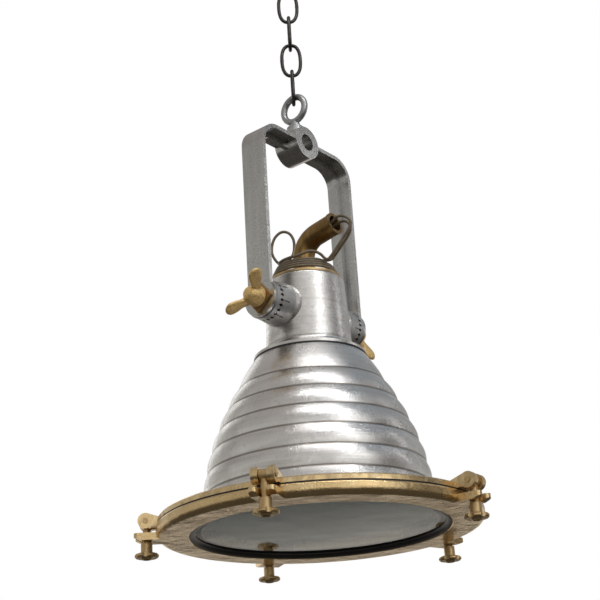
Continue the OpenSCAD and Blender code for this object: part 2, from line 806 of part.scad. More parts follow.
module shade() {
  outside = [for (d = depths) [bell(d) - (d < shoulder_h / 2 ? 0 : dip(d)), -d]];
  inside = [for (k = [len(depths) - 1 : -1 : 0]) let (d = depths[k]) if (d > flange_t + 1)
    [bell(d) - (d < shoulder_h / 2 ? 0 : dip(d)) - shade_wall * (1.6 - 0.6 * d / bell_end), -d]];
  color(ALUMINIUM) translate([0, 0, z_shade_top]) difference() {
    rotate_extrude() polygon(concat(
      [[shade_mouth_r, 0]], outside,
      [[shade_flange_r, -bell_end], [shade_flange_r, -shade_h]],
      [[inside[0][0], -shade_h]], inside,
      [[foot_r - 1.6 * shade_wall, -flange_t], [shade_mouth_r, -flange_t]]
    ));
    around(FOOT_SCREWS, 30) translate([foot_screw_pcr, 0, -flange_t - over])
      cylinder(r = foot_screw_r + screw_fit, h = flange_t + 2 * over);
    around(SHADE_SCREWS, clamp_turn + 18) translate([shade_screw_pcr, 0, -shade_h - over])
      cylinder(r = shade_screw_r + screw_fit, h = flange_t + 2 * over);
  }
}

module shade_screws() {
  color(BRASS) around(SHADE_SCREWS, clamp_turn + 18)
    translate([shade_screw_pcr, 0, z_shade_foot + flange_t]) {
      difference() {
        cylinder(r1 = pan_r, r2 = pan_r - pan_draw, h = pan_h);
        slot(pan_r, pan_h);
      }
      translate([0, 0, -flange_t - ring_t + 1])
        cylinder(r = shade_screw_r, h = flange_t + ring_t - 1);
    }
}

// Rings, lens and clamps

// Runs along the tangent at a clamp, centred on the pin
module on_pin(r, len) {
  translate([clamp_r, 0, z_pin]) rotate([90, 0, 0]) cylinder(r = r, h = len, center = true);
}

module upper_ring() {
  color(BRASS) difference() {
    union() {
      translate([0, 0, z_ring_low]) rotate_extrude() polygon([
        [ring_in_r, 0], [ring_r, 0], [ring_r, ring_t - 1.5], [ring_r - 1.5, ring_t],
        [ring_in_r, ring_t]
      ]);
      around(clamps, clamp_turn) difference() {
        union() {
          on_pin(ear_r, clevis_w);
          rotate([90, 0, 0]) linear_extrude(clevis_w, center = true) polygon([
            [ring_r - 14, z_ring_low], [clamp_r, z_ring_low], [clamp_r, z_pin + ear_r],
            [clamp_r - 4, z_pin + ear_r - 1], [ring_r - 14, z_shade_foot + 1]
          ]);
        }
        translate([ring_r, -ear_gap / 2, z_ring_low - ear_r])
          cube([clamp_r, ear_gap, 3 * ear_r + ring_t]);
      }
    }
    around(clamps, clamp_turn) on_pin(pin_r + fit, clevis_w + 2 * over);
    around(SHADE_SCREWS, clamp_turn + 18) translate([shade_screw_pcr, 0, z_ring_low + 0.5])
      cylinder(r = shade_screw_r + screw_fit, h = ring_t);
  }
}

module clevis_pins() {
  color(BRASS) around(clamps, clamp_turn) on_pin(pin_r, pin_len);
}

module ring_gasket() {
  color(RUBBER) translate([0, 0, z_seam])
    ring(ring_r - 0.5, bezel_r - 10, ring_gasket_t);
}

// Lug with two round prongs, whose underside rises outside the bolt
module lug() {
  from = bezel_r - lug_root;
  intersection() {
    translate([0, 0, z_bezel_low - over]) linear_extrude(lug_t + over) {
      translate([from, -lug_w / 2]) square([lug_reach - prong_r - from, lug_w]);
      for (side = [-1, 1]) translate([lug_reach - prong_r, side * (lug_w / 2 - prong_r)])
        circle(r = prong_r);
    }
    rotate([90, 0, 0]) linear_extrude(lug_w + 2 * over, center = true) polygon([
      [from - over, z_bezel_low], [lug_flat, z_bezel_low], [lug_reach, z_bezel_low + lug_rise],
      [lug_reach + over, z_lug + over], [from - over, z_lug + over]
    ]);
  }
}

module bezel_ring() {
  roll = 3;
  low_roll = lug_root;
  color(BRASS) difference() {
    union() {
      rotate_extrude() polygon(concat(
        [[opening_r, z_bezel_low + 1], [opening_r + 1, z_bezel_low]],
        [for (a = [0 : 10 : 90])
          [bezel_r - low_roll * (1 - sin(a)), z_bezel_low + low_roll * (1 - cos(a))]],
        [for (a = [0 : 15 : 90])
          [bezel_r - roll * (1 - cos(a)), z_seam - roll * (1 - sin(a))]],
        [[bezel_r - 10, z_seam], [bezel_r - 10, z_floor], [bezel_wall_out, z_floor]],
        [[bezel_wall_out, z_clip], [bezel_wall_in, z_clip], [bezel_wall_in, z_floor]],
        [[opening_r, z_floor]]
      ));
      around(clamps, clamp_turn) lug();
    }
    around(clamps, clamp_turn) {
      translate([clamp_r, 0, z_bezel_low - over]) cylinder(d = slot_w, h = lug_t + 2 * over);
      translate([clamp_r, -slot_w / 2, z_bezel_low - over])
        cube([lug_out + over, slot_w, lug_t + 2 * over]);
      translate([clip_screw_at, 0, z_clip - clip_bite - over])
        cylinder(r = clip_screw_r + screw_fit, h = clip_bite + 2 * over);
    }
  }
}

// Rubber channel round the glass, with a round bead that lines the bezel's opening
module lens_gasket() {
  wall_r = opening_r - lens_bead_gap;
  lens_bead = [for (a = [90 : -10 : 0])
    [wall_r - (lens_bead_w - lens_bead_gap) * cos(a), z_glass - (z_glass - z_lens_bead) * sin(a)]];
  color(RUBBER) rotate_extrude() polygon(concat(
    [[wall_r, z_floor], [rubber_r, z_floor], [rubber_r, z_lip + lip_t], [lip_in_r, z_lip + lip_t]],
    [[lip_in_r, z_lip], [glass_r, z_lip], [glass_r, z_glass]],
    [for (k = [len(lens_bead) - 1 : -1 : 0]) lens_bead[k]]
  ));
}

module lens_glass() {
  color([0.8, 0.86, 0.84, 0.35]) translate([0, 0, z_glass]) cylinder(r = glass_r, h = glass_t);
}

module lens_clips() {
  color(RUBBER) around(clamps, clamp_turn) difference() {
    union() {
      translate([clip_in_r, -clip_w / 2, z_clip])
        cube([bezel_wall_out - clip_in_r, clip_w, clip_h]);
      translate([clip_in_r, -clip_w / 2, z_clip])
        cube([clip_block, clip_w, z_clip_top - z_clip]);
    }
    translate([clip_screw_at, 0, z_clip - over])
      cylinder(r = clip_screw_r + screw_fit, h = clip_h + 2 * over);
  }
}

module clip_screws() {
  color(STEEL) around(clamps, clamp_turn) translate([clip_screw_at, 0, z_clip + clip_h]) {
    difference() {
      cylinder(r = clip_head_r, h = clip_head_h);
      slot(clip_head_r, clip_head_h);
    }
    translate([0, 0, -clip_h - clip_bite]) cylinder(r = clip_screw_r, h = clip_h + clip_bite);
  }
}

module swing_bolt(k) {
  color(BRASS) rotate([0, 0, clamp_dir(k)]) difference() {
    union() {
      on_pin(eye_bolt_r, eye_bolt_t);
      translate([clamp_r, 0, z_pin - bolt_len]) cylinder(r = bolt_r, h = bolt_len - pin_r - 1);
    }
    on_pin(pin_r + fit, ear_gap);
  }
}

module hand_nut(k) {
  low = z_nut - nut_h;
  flange_low = nut_nub_h;
  profile = [
    [0, 0], [barrel_r - 1.5, 0], [barrel_r, flange_low],
    [nut_flange_r - 1.5, flange_low], [nut_flange_r, flange_low + 1.5],
    [nut_flange_r, flange_low + nut_flange_t - 1.5],
    [nut_flange_r - 1.5, flange_low + nut_flange_t], [barrel_r, flange_low + nut_flange_t + 1],
    [barrel_r, nut_h - 1], [barrel_r - 1, nut_h], [0, nut_h]
  ];
  color(BRASS) rotate([0, 0, clamp_dir(k)]) translate([clamp_r, 0, low]) difference() {
    rotate_extrude() polygon(profile);
    translate([0, 0, -over]) cylinder(r = bolt_r + fit, h = nut_h + 2 * over);
    around(SCALLOPS, 30) translate([nut_flange_r + 3, 0, flange_low - over])
      cylinder(r = 5, h = nut_flange_t + 2 * over);
  }
}

// Lampholder, bulb and wiring

module holder_bracket() {
  color(STEEL) translate([0, 0, z_bracket]) difference() {
    translate([-bracket_w / 2, -bracket_reach, 0]) cube([bracket_w, 2 * bracket_reach, bracket_t]);
    for (side = [-1, 1]) translate([0, side * bracket_screw_y, -over])
      cylinder(r = bracket_screw_r + screw_fit, h = bracket_t + 2 * over);
    for (side = [-1, 1]) translate([side * holder_lead_x / 2, 0, -over])
      cylinder(r = holder_lead_r + screw_fit, h = bracket_t + 2 * over);
  }
}

module bracket_screws() {
  color(STEEL) for (side = [-1, 1]) translate([0, side * bracket_screw_y, z_bracket]) {
    mirror([0, 0, 1]) difference() {
      cylinder(r = pan_r, h = pan_h);
      slot(pan_r, pan_h);
    }
    cylinder(r = bracket_screw_r, h = bracket_t + bracket_post_h - 4);
  }
}

module lampholder() {
  cup_r = shell_in_r + shell_t + screw_fit;
  color(PORCELAIN) translate([0, 0, z_bracket - holder_h]) rotate_extrude() polygon([
    [cup_r, 0], [holder_r - 2, 0], [holder_r, 2], [holder_r, holder_h - 12],
    [holder_r - 6, holder_h - 6], [holder_r - 6, holder_h], [0, holder_h],
    [0, 6 + shell_h], [cup_r, 6 + shell_h]
  ]);
}

module socket_shell() {
  color(BRASS) translate([0, 0, z_bracket - holder_h + 6])
    ring(shell_in_r + shell_t, shell_in_r, shell_h);
}

module socket_contact() {
  color(BRASS) translate([0, 0, z_cap + cap_h + gap])
    cylinder(r = 4, h = shell_h + 6 - 8 - cap_h - gap);
}

module bulb_cap() {
  color(BRASS) translate([0, 0, z_cap]) rotate_extrude() polygon([
    [0, 0], [cap_r, 0], [cap_r, cap_h - 5], [5, cap_h - 1], [4, cap_h], [0, cap_h]
  ]);
}

// Half outline of the bulb's glass, from its neck down, moved in by a wall
function bulb_line(wall) = concat(
  [for (s = [0 : 8]) let (f = s / 8)
    [bulb_neck_r - wall + (bulb_r - bulb_neck_r) * (0.5 - 0.5 * cos(180 * f)),
     -(bulb_len - bulb_r) * f]],
  [for (a = [10 : 10 : 90])
    [(bulb_r - wall) * cos(a), bulb_r - bulb_len - (bulb_r - wall) * sin(a)]]
);

module bulb_glass() {
  inside = bulb_line(glass_wall);
  color([0.95, 0.94, 0.9, 0.6]) translate([0, 0, z_cap]) rotate_extrude()
    polygon(concat(bulb_line(0), [for (k = [len(inside) - 1 : -1 : 0]) inside[k]]));
}

module terminal_block() {
  color(PORCELAIN) translate([-block_w / 2, -block_d / 2, z_bracket + bracket_t])
    cube([block_w, block_d, block_h]);
}

module holder_leads() {
  color(LEAD) for (side = [-1, 1]) translate([side * holder_lead_x / 2, 0, z_bracket])
    cylinder(r = holder_lead_r, h = bracket_t);
}

// A lead's route: straight up from the terminal block, then through its own points
function route(side, points) = concat(
  [for (z = [z_block_top, z_pivot, z_plate_top, z_plate_top + 20]) [side * lead_x, 0, z]],
  [[side * lead_x, 0, z_plate_top + 32]],
  [for (p = points) [p[0], p[1], z_plate_top + p[2]]]
);

// Centre of the coil's wire, counted in turns down from its top end
function coil_point(t) =
  let (r = coil_r - coil_draw * (coil_turns - t), a = coil_start - 360 * t)
  [r * cos(a), r * sin(a), z_coil + coil_rise * (coil_turns - t)];
coil_points = [for (k = [0 : RINGS_PER_TURN * coil_turns]) coil_point(k / RINGS_PER_TURN)];
coil_gap = min([for (i = [0 : len(coil_points) - 1], j = [i + RINGS_PER_TURN / 2 : len(coil_points) - 1])
  norm(coil_points[i] - coil_points[j])]) - lead_d;

module lead_coil() {
  echo(coil_gap = coil_gap);
  color(LEAD) tube(coil_points, lead_d, 6, [0, 0, 1]);
}

module lead_first() {
  top = coil_point(0);
  along = unit(coil_point(0) - coil_point(1 / RINGS_PER_TURN));
  color(LEAD) tube(concat(route(1, FIRST), [top + 5 * along, top]), lead_d, 8);
}

module lead_second() {
  color(LEAD) tube(route(-1, SECOND), lead_d, 8);
}

chain_link(1);  // chain_link_1
chain_link(2);  // chain_link_2
chain_link(3);  // chain_link_3
chain_link(4);  // chain_link_4
eyebolt();
yoke();
yoke_rosette(-1);  // yoke_rosette_left
yoke_rosette(1);  // yoke_rosette_right
pivot_washer(-1);  // pivot_washer_left
pivot_washer(1);  // pivot_washer_right
wing_nut(-1);  // wing_nut_left
wing_nut(1);  // wing_nut_right
pivot_stud(-1);  // pivot_stud_left
pivot_stud(1);  // pivot_stud_right
stud_nuts();
head_rosette(-1);  // head_rosette_left
head_rosette(1);  // head_rosette_right
neck_housing();
top_gasket();
top_plate();
top_plate_screws();
cable_elbow();
elbow_locknut();
neck_gasket();
neck_screws();
shade();
shade_screws();
upper_ring();
clevis_pins();
ring_gasket();
bezel_ring();
lens_gasket();
lens_glass();
lens_clips();
clip_screws();
swing_bolt(1);  // swing_bolt_1
swing_bolt(2);  // swing_bolt_2
swing_bolt(3);  // swing_bolt_3
swing_bolt(4);  // swing_bolt_4
swing_bolt(5);  // swing_bolt_5
hand_nut(1);  // hand_nut_1
hand_nut(2);  // hand_nut_2
hand_nut(3);  // hand_nut_3
hand_nut(4);  // hand_nut_4
hand_nut(5);  // hand_nut_5
holder_bracket();
bracket_screws();
lampholder();
socket_shell();
socket_contact();
bulb_cap();
bulb_glass();
terminal_block();
holder_leads();
lead_coil();
lead_first();
lead_second();
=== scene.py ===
"""Cargo pendant lamp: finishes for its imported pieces, and the pieces that are modelled more fully."""

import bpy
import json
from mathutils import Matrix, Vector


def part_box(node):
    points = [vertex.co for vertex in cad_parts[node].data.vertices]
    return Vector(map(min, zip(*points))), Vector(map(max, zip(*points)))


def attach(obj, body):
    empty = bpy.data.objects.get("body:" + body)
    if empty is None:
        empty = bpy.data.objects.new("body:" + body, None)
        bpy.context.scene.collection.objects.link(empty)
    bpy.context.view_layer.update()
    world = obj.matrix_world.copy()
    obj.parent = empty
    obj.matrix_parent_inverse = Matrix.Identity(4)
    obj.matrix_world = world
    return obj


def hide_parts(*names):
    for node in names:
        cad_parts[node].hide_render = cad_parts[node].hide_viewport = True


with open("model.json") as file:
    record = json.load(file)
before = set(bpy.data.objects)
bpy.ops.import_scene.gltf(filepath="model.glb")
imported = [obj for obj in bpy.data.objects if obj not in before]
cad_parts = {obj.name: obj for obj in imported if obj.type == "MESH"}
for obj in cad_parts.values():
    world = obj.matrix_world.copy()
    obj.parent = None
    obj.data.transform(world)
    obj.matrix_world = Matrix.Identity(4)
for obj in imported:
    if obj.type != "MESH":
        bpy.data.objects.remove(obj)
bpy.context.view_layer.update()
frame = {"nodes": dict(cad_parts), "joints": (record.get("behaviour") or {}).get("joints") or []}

import json
import math

import bmesh
import bpy
from bpy.props import FloatProperty, FloatVectorProperty, IntProperty, PointerProperty
from mathutils import Matrix, Vector

bl_info = {
    "name": "Cargo pendant lamp",
    "version": (1, 0, 0),
    "blender": (4, 5, 0),
    "location": "3D View > Sidebar > Lamp",
    "description": "Dresses the packed pendant lamp and sets it in a plain studio",
    "category": "Object",
}

MM = 0.001
CLAMPS = range(1, 6)
NODES = frame["nodes"]
JOINTS = {joint["name"]: joint for joint in frame["joints"]}
PIVOT = Vector(JOINTS["head_tilt"]["pos_m"])
PLATE_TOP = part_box("top_plate")[1][2]
SHADE_FOOT, SHADE_TOP = (corner[2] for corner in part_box("shade"))
BEZEL_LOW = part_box("bezel_ring")[0][2]
RIB_START = 39.4 * MM
RIB_PITCH = 26.8 * MM

# Route points of the two leads, in millimetres from the lamp's axis and above the top plate
FIRST_LEAD = [
    (4, 0, 20), (4, 0, 32), (4, -2, 43), (4, -6, 50), (4, -13, 56), (4, -23, 60), (4, -34, 62),
    (4, -45, 63.5), (3, -55, 64.5), (2, -64, 66), (3, -72, 64), (4.5, -76.5, 58),
    (5, -76, 50), (5.5, -70, 42.5), (6, -61, 35.5), (7, -53, 30), (7.5, -46.5, 25.5),
    (6.5, -41, 21),
]
SECOND_LEAD = [
    (-4, 0, 20), (-4, 0, 32), (-4, -2, 43), (-4, -6, 50), (-4, -13, 56), (-4, -23, 60),
    (-4, -34, 62), (-4, -45, 63.5), (-5, -55, 66), (-6.5, -65, 70), (-4.5, -74, 68.5),
    (-2, -81, 62.5), (-1, -82, 55), (-2, -76.5, 46.5), (-3, -69, 38.5), (-4, -61, 30),
    (-5.5, -53, 21.5), (-7.5, -46.5, 15.5), (-10, -42.5, 17.5), (-13, -39.5, 22.5),
    (-18.5, -35, 26.5), (-25, -29.5, 27), (-30, -24, 24.5), (-34, -17, 22.3), (-37, -8, 21.6),
    (-37.5, 3, 21.4), (-34, 13, 22), (-27, 20.5, 24.5), (-17, 23, 29), (-8, 21, 35),
    (0, 18, 45), (2, 16.5, 57), (1.5, 17, 68), (-1.5, 20.5, 76.5), (-6, 26.5, 80),
    (-10.5, 32, 77.5), (-14.5, 37, 70), (-16.5, 40, 59), (-16.5, 40, 48), (-13, 37, 38.5),
    (-6, 34, 32), (3, 33.5, 27), (12, 32.5, 22.5), (19, 30.5, 20.2), (26, 26, 19.6),
]


# Settings that a user may change

class LampSizes(bpy.types.PropertyGroup):
    """Sizes of the pieces that are modelled here"""

    lead: FloatProperty(name="Lead", description="Diameter of a lead", default=3.8 * MM, unit="LENGTH")
    coil_turns: IntProperty(name="Coil turns", description="Turns of the coil", default=4)
    coil_radius: FloatProperty(
        name="Coil radius", description="Radius of the coil's lowest turn", default=44 * MM, unit="LENGTH"
    )
    coil_draw: FloatProperty(
        name="Coil draw", description="Radius lost in each turn", default=2 * MM, unit="LENGTH"
    )
    coil_rise: FloatProperty(
        name="Coil rise", description="Height gained in each turn", default=3.9 * MM, unit="LENGTH"
    )
    coil_start: FloatProperty(
        name="Coil start", description="Direction of the coil's top end", default=math.radians(-96),
        subtype="ANGLE",
    )
    edge: FloatProperty(
        name="Edge", description="Rounding of cast and turned edges", default=0.7 * MM, unit="LENGTH"
    )


class LampColours(bpy.types.PropertyGroup):
    """Colours of the finishes"""

    polished: FloatVectorProperty(
        name="Polished", description="Polished aluminium", subtype="COLOR", default=(0.80, 0.79, 0.78)
    )
    tarnish: FloatVectorProperty(
        name="Tarnish", description="Tarnish on the aluminium", subtype="COLOR", default=(0.50, 0.47, 0.45)
    )
    cast: FloatVectorProperty(
        name="Cast", description="Cast aluminium of the yoke", subtype="COLOR", default=(0.56, 0.56, 0.56)
    )
    brass: FloatVectorProperty(
        name="Brass", description="Clean brass", subtype="COLOR", default=(0.80, 0.57, 0.27)
    )
    patina: FloatVectorProperty(
        name="Patina", description="Brown patina on the brass", subtype="COLOR", default=(0.24, 0.135, 0.05)
    )
    bronze: FloatVectorProperty(
        name="Bronze", description="Brown bronze of the elbow", subtype="COLOR", default=(0.34, 0.205, 0.075)
    )
    iron: FloatVectorProperty(
        name="Iron", description="Blackened steel of the chain", subtype="COLOR", default=(0.05, 0.047, 0.045)
    )
    zinc: FloatVectorProperty(
        name="Zinc", description="Galvanised steel of the eyebolt", subtype="COLOR", default=(0.44, 0.45, 0.46)
    )
    lead: FloatVectorProperty(
        name="Lead", description="Insulation of the leads", subtype="COLOR", default=(0.20, 0.155, 0.10)
    )
    glass: FloatVectorProperty(
        name="Glass", description="Lens glass", subtype="COLOR", default=(0.78, 0.82, 0.79)
    )


class LampStage(bpy.types.PropertyGroup):
    """The studio round the lamp"""

    floor: FloatProperty(name="Floor", description="Height of the floor", default=-1.9, unit="LENGTH")
    key: FloatProperty(name="Key", description="Power of the high soft light", default=11, unit="POWER")
    window: FloatProperty(name="Window", description="Power of the wide light", default=3.5, unit="POWER")
    rim: FloatProperty(name="Rim", description="Power of the light behind", default=3, unit="POWER")
    sparkle: FloatProperty(name="Sparkle", description="Power of a narrow light", default=2.0, unit="POWER")
    lens: FloatProperty(name="Lens", description="Focal length", default=77.33, unit="CAMERA")


# Small helpers for node trees and meshes

class Graph:
    """A node tree being wired, with a short call for each kind of node"""

    def __init__(self, tree):
        self.tree = tree

    def feed(self, socket, value):
        if isinstance(value, bpy.types.NodeSocket):
            self.tree.links.new(value, socket)
        else:
            socket.default_value = value

    def node(self, kind, inputs=None, **settings):
        made = self.tree.nodes.new(kind)
        for name, value in settings.items():
            setattr(made, name, value)
        for name, value in (inputs or {}).items():
            self.feed(made.inputs[name], value)
        return made

    def math(self, operation, *values, clamp=False):
        made = self.node("ShaderNodeMath", dict(enumerate(values)), operation=operation, use_clamp=clamp)
        return made.outputs[0]

    def mix(self, factor, a, b, blend="MIX"):
        made = self.node("ShaderNodeMix", data_type="RGBA", blend_type=blend)
        self.feed(made.inputs[0], factor)
        for socket, value in ((made.inputs[6], a), (made.inputs[7], b)):
            self.feed(socket, value if isinstance(value, bpy.types.NodeSocket) else (*value[:3], 1))
        return made.outputs[2]

    def blend(self, factor, a, b):
        made = self.node("ShaderNodeMix", data_type="FLOAT")
        for index, value in ((0, factor), (2, a), (3, b)):
            self.feed(made.inputs[index], value)
        return made.outputs[0]

    def step(self, value, low, high):
        """0 below low, 1 above high and smooth between them"""
        made = self.node("ShaderNodeMapRange", {"Value": value, "From Min": low, "From Max": high},
                         interpolation_type="SMOOTHSTEP")
        return made.outputs[0]

    def place(self, scale=(1, 1, 1), shift=(0, 0, 0)):
        """Object coordinates, stretched and shifted"""
        coordinates = self.node("ShaderNodeTexCoord").outputs["Object"]
        return self.node("ShaderNodeMapping",
                         {"Vector": coordinates, "Scale": scale, "Location": shift}).outputs[0]

    def noise(self, vector, scale, detail=4, rough=0.55):
        made = self.node("ShaderNodeTexNoise",
                         {"Vector": vector, "Scale": scale, "Detail": detail, "Roughness": rough})
        return made.outputs["Fac"]


def new_group(name, inputs, outputs):
    """An empty shader group with number, colour or vector sockets, and its graph"""
    kinds = {"number": "NodeSocketFloat", "colour": "NodeSocketColor", "vector": "NodeSocketVector"}
    tree = bpy.data.node_groups.new(name, "ShaderNodeTree")
    for label, kind, default in inputs:
        socket = tree.interface.new_socket(label, in_out="INPUT", socket_type=kinds[kind])
        socket.default_value = (*default, 1) if kind == "colour" else default
    for label, kind in outputs:
        tree.interface.new_socket(label, in_out="OUTPUT", socket_type=kinds[kind])
    graph = Graph(tree)
    return tree, graph, graph.node("NodeGroupInput").outputs, graph.node("NodeGroupOutput").inputs


def group(name):
    """The named shader group, built the first time it is asked for"""
    return bpy.data.node_groups.get(name) or GROUPS[name]()


def edge_wear():
    """Mask of the rubbed edges of a piece, broken up by noise"""
    tree, g, given, out = new_group(
        "Edge wear", [("Radius", "number", 0.0012), ("Break up", "number", 60.0)], [("Edge", "number")]
    )
    rounded = g.node("ShaderNodeBevel", {"Radius": given["Radius"]}, samples=4).outputs[0]
    normal = g.node("ShaderNodeNewGeometry").outputs["Normal"]
    bend = g.node("ShaderNodeVectorMath", {0: rounded, 1: normal}, operation="DOT_PRODUCT").outputs["Value"]
    sharp = g.step(g.math("SUBTRACT", 1.0, bend), 0.02, 0.22)
    broken = g.noise(g.place(), given["Break up"], 5)
    g.feed(out["Edge"], g.math("MULTIPLY", sharp, g.step(broken, 0.35, 0.6)))
    return tree


def blotches():
    """Large and small uneven patches, as on handled and cleaned metal"""
    tree, g, given, out = new_group(
        "Blotches", [("Scale", "number", 14.0), ("Balance", "number", 0.5), ("Seed", "number", 0.0)],
        [("Patch", "number"), ("Speck", "number"), ("Streak", "number")],
    )
    here = g.node("ShaderNodeVectorMath", {0: g.place(), 1: given["Seed"]}, operation="ADD").outputs[0]
    bend = g.node("ShaderNodeTexNoise", {"Vector": here, "Scale": given["Scale"], "Detail": 3.0})
    warped = g.node("ShaderNodeVectorMath", {0: here, 1: bend.outputs["Color"]}, operation="MULTIPLY_ADD")
    g.feed(warped.inputs[2], here)
    large = g.noise(warped.outputs[0], given["Scale"], 6, 0.62)
    low = g.math("SUBTRACT", given["Balance"], 0.10)
    high = g.math("ADD", given["Balance"], 0.10)
    g.feed(out["Patch"], g.step(large, low, high))
    fine = g.noise(here, g.math("MULTIPLY", given["Scale"], 22.0), 3, 0.7)
    g.feed(out["Speck"], g.step(fine, 0.60, 0.72))
    streaks = g.node("ShaderNodeVectorMath", {0: here, 1: (1.0, 1.0, 0.16)}, operation="MULTIPLY").outputs[0]
    g.feed(out["Streak"], g.step(g.noise(streaks, g.math("MULTIPLY", given["Scale"], 5.0), 5, 0.6), 0.45, 0.7))
    return tree


def fine_scratches():
    """Hairline scratches that cross each other, as a height and a mask"""
    tree, g, given, out = new_group(
        "Fine scratches", [("Scale", "number", 60.0), ("Amount", "number", 0.5)],
        [("Height", "number"), ("Mask", "number")],
    )
    lines = []
    for turn, squeeze in ((0.4, 30.0), (1.9, 22.0), (2.7, 34.0)):
        turned = g.node("ShaderNodeMapping", {"Vector": g.place(), "Rotation": (turn, turn * 0.6, turn * 1.7),
                                              "Scale": (1.0, squeeze, squeeze)}).outputs[0]
        hair = g.noise(turned, given["Scale"], 2, 0.5)
        lines.append(g.step(g.math("ABSOLUTE", g.math("SUBTRACT", hair, 0.5)), 0.0, 0.035))
    ground = g.math("MULTIPLY", g.math("MULTIPLY", lines[0], lines[1]), lines[2])
    mask = g.math("MULTIPLY", g.math("SUBTRACT", 1.0, ground), given["Amount"])
    g.feed(out["Mask"], mask)
    g.feed(out["Height"], g.math("SUBTRACT", 1.0, mask))
    return tree


def turned_rings():
    """Fine rings left by spinning or turning round the Z axis"""
    tree, g, given, out = new_group(
        "Turned rings", [("Pitch", "number", 900.0)], [("Height", "number")]
    )
    flat = g.node("ShaderNodeCombineXYZ", {"X": 6.0, "Y": 6.0, "Z": given["Pitch"]}).outputs[0]
    stretched = g.node("ShaderNodeVectorMath", {0: g.place(), 1: flat}, operation="MULTIPLY").outputs[0]
    g.feed(out["Height"], g.noise(stretched, 1.0, 4, 0.65))
    return tree


def cast_skin():
    """Sand-cast surface: fine grain, a few pits and soft waves"""
    tree, g, given, out = new_group(
        "Cast skin", [("Grain", "number", 700.0), ("Pits", "number", 160.0)],
        [("Height", "number"), ("Pit", "number")],
    )
    grain = g.noise(g.place(), given["Grain"], 4, 0.7)
    waves = g.noise(g.place(), 38.0, 3, 0.5)
    cells = g.node("ShaderNodeTexVoronoi", {"Vector": g.place(), "Scale": given["Pits"]}).outputs["Distance"]
    chosen = g.step(g.noise(g.place((1, 1, 1), (3, 1, 2)), 45.0, 2), 0.52, 0.62)
    pit = g.math("MULTIPLY", g.math("SUBTRACT", 1.0, g.step(cells, 0.06, 0.26)), chosen)
    height = g.math("ADD", g.math("MULTIPLY", grain, 0.45), g.math("MULTIPLY", waves, 1.3))
    g.feed(out["Height"], g.math("SUBTRACT", height, g.math("MULTIPLY", pit, 0.8)))
    g.feed(out["Pit"], pit)
    return tree


def dust():
    """Dust that has settled on what faces up"""
    tree, g, given, out = new_group(
        "Dust", [("Amount", "number", 0.4)], [("Mask", "number")]
    )
    up = g.node("ShaderNodeSeparateXYZ", {0: g.node("ShaderNodeNewGeometry").outputs["Normal"]}).outputs["Z"]
    cloud = g.step(g.noise(g.place(), 45.0, 6, 0.65), 0.35, 0.75)
    g.feed(out["Mask"], g.math("MULTIPLY", g.math("MULTIPLY", g.step(up, 0.3, 0.95), cloud), given["Amount"]))
    return tree


GROUPS = {
    "Edge wear": edge_wear, "Blotches": blotches, "Fine scratches": fine_scratches,
    "Turned rings": turned_rings, "Cast skin": cast_skin, "Dust": dust,
}


def new_material(name):
    """A material with a Principled shader, and its graph"""
    made = bpy.data.materials.new(name)
    made.use_nodes = True
    graph = Graph(made.node_tree)
    shader = made.node_tree.nodes["Principled BSDF"]
    return made, graph, shader


def place_group(g, name, **values):
    made = g.node("ShaderNodeGroup", node_tree=group(name))
    for label, value in values.items():
        g.feed(made.inputs[label.replace("_", " ")], value)
    return made.outputs


def bump(g, shader, height, depth, strength=1.0, below=None):
    """Feeds a height to the shader's normal; below is a coarser bump that this one lies on"""
    inputs = {"Height": height, "Distance": depth, "Strength": strength}
    if below is not None:
        inputs["Normal"] = below
    normal = g.node("ShaderNodeBump", inputs).outputs[0]
    g.feed(shader.inputs["Normal"], normal)
    return normal


def crevice_shade(g, reach=5 * MM):
    """Painted shade: 1 deep in a piece's own corners and holes, and 0 on its open faces"""
    shut = g.node("ShaderNodeAmbientOcclusion", {"Distance": reach}, samples=6, only_local=True).outputs["AO"]
    return g.math("SUBTRACT", 1.0, g.step(shut, 0.15, 0.75))


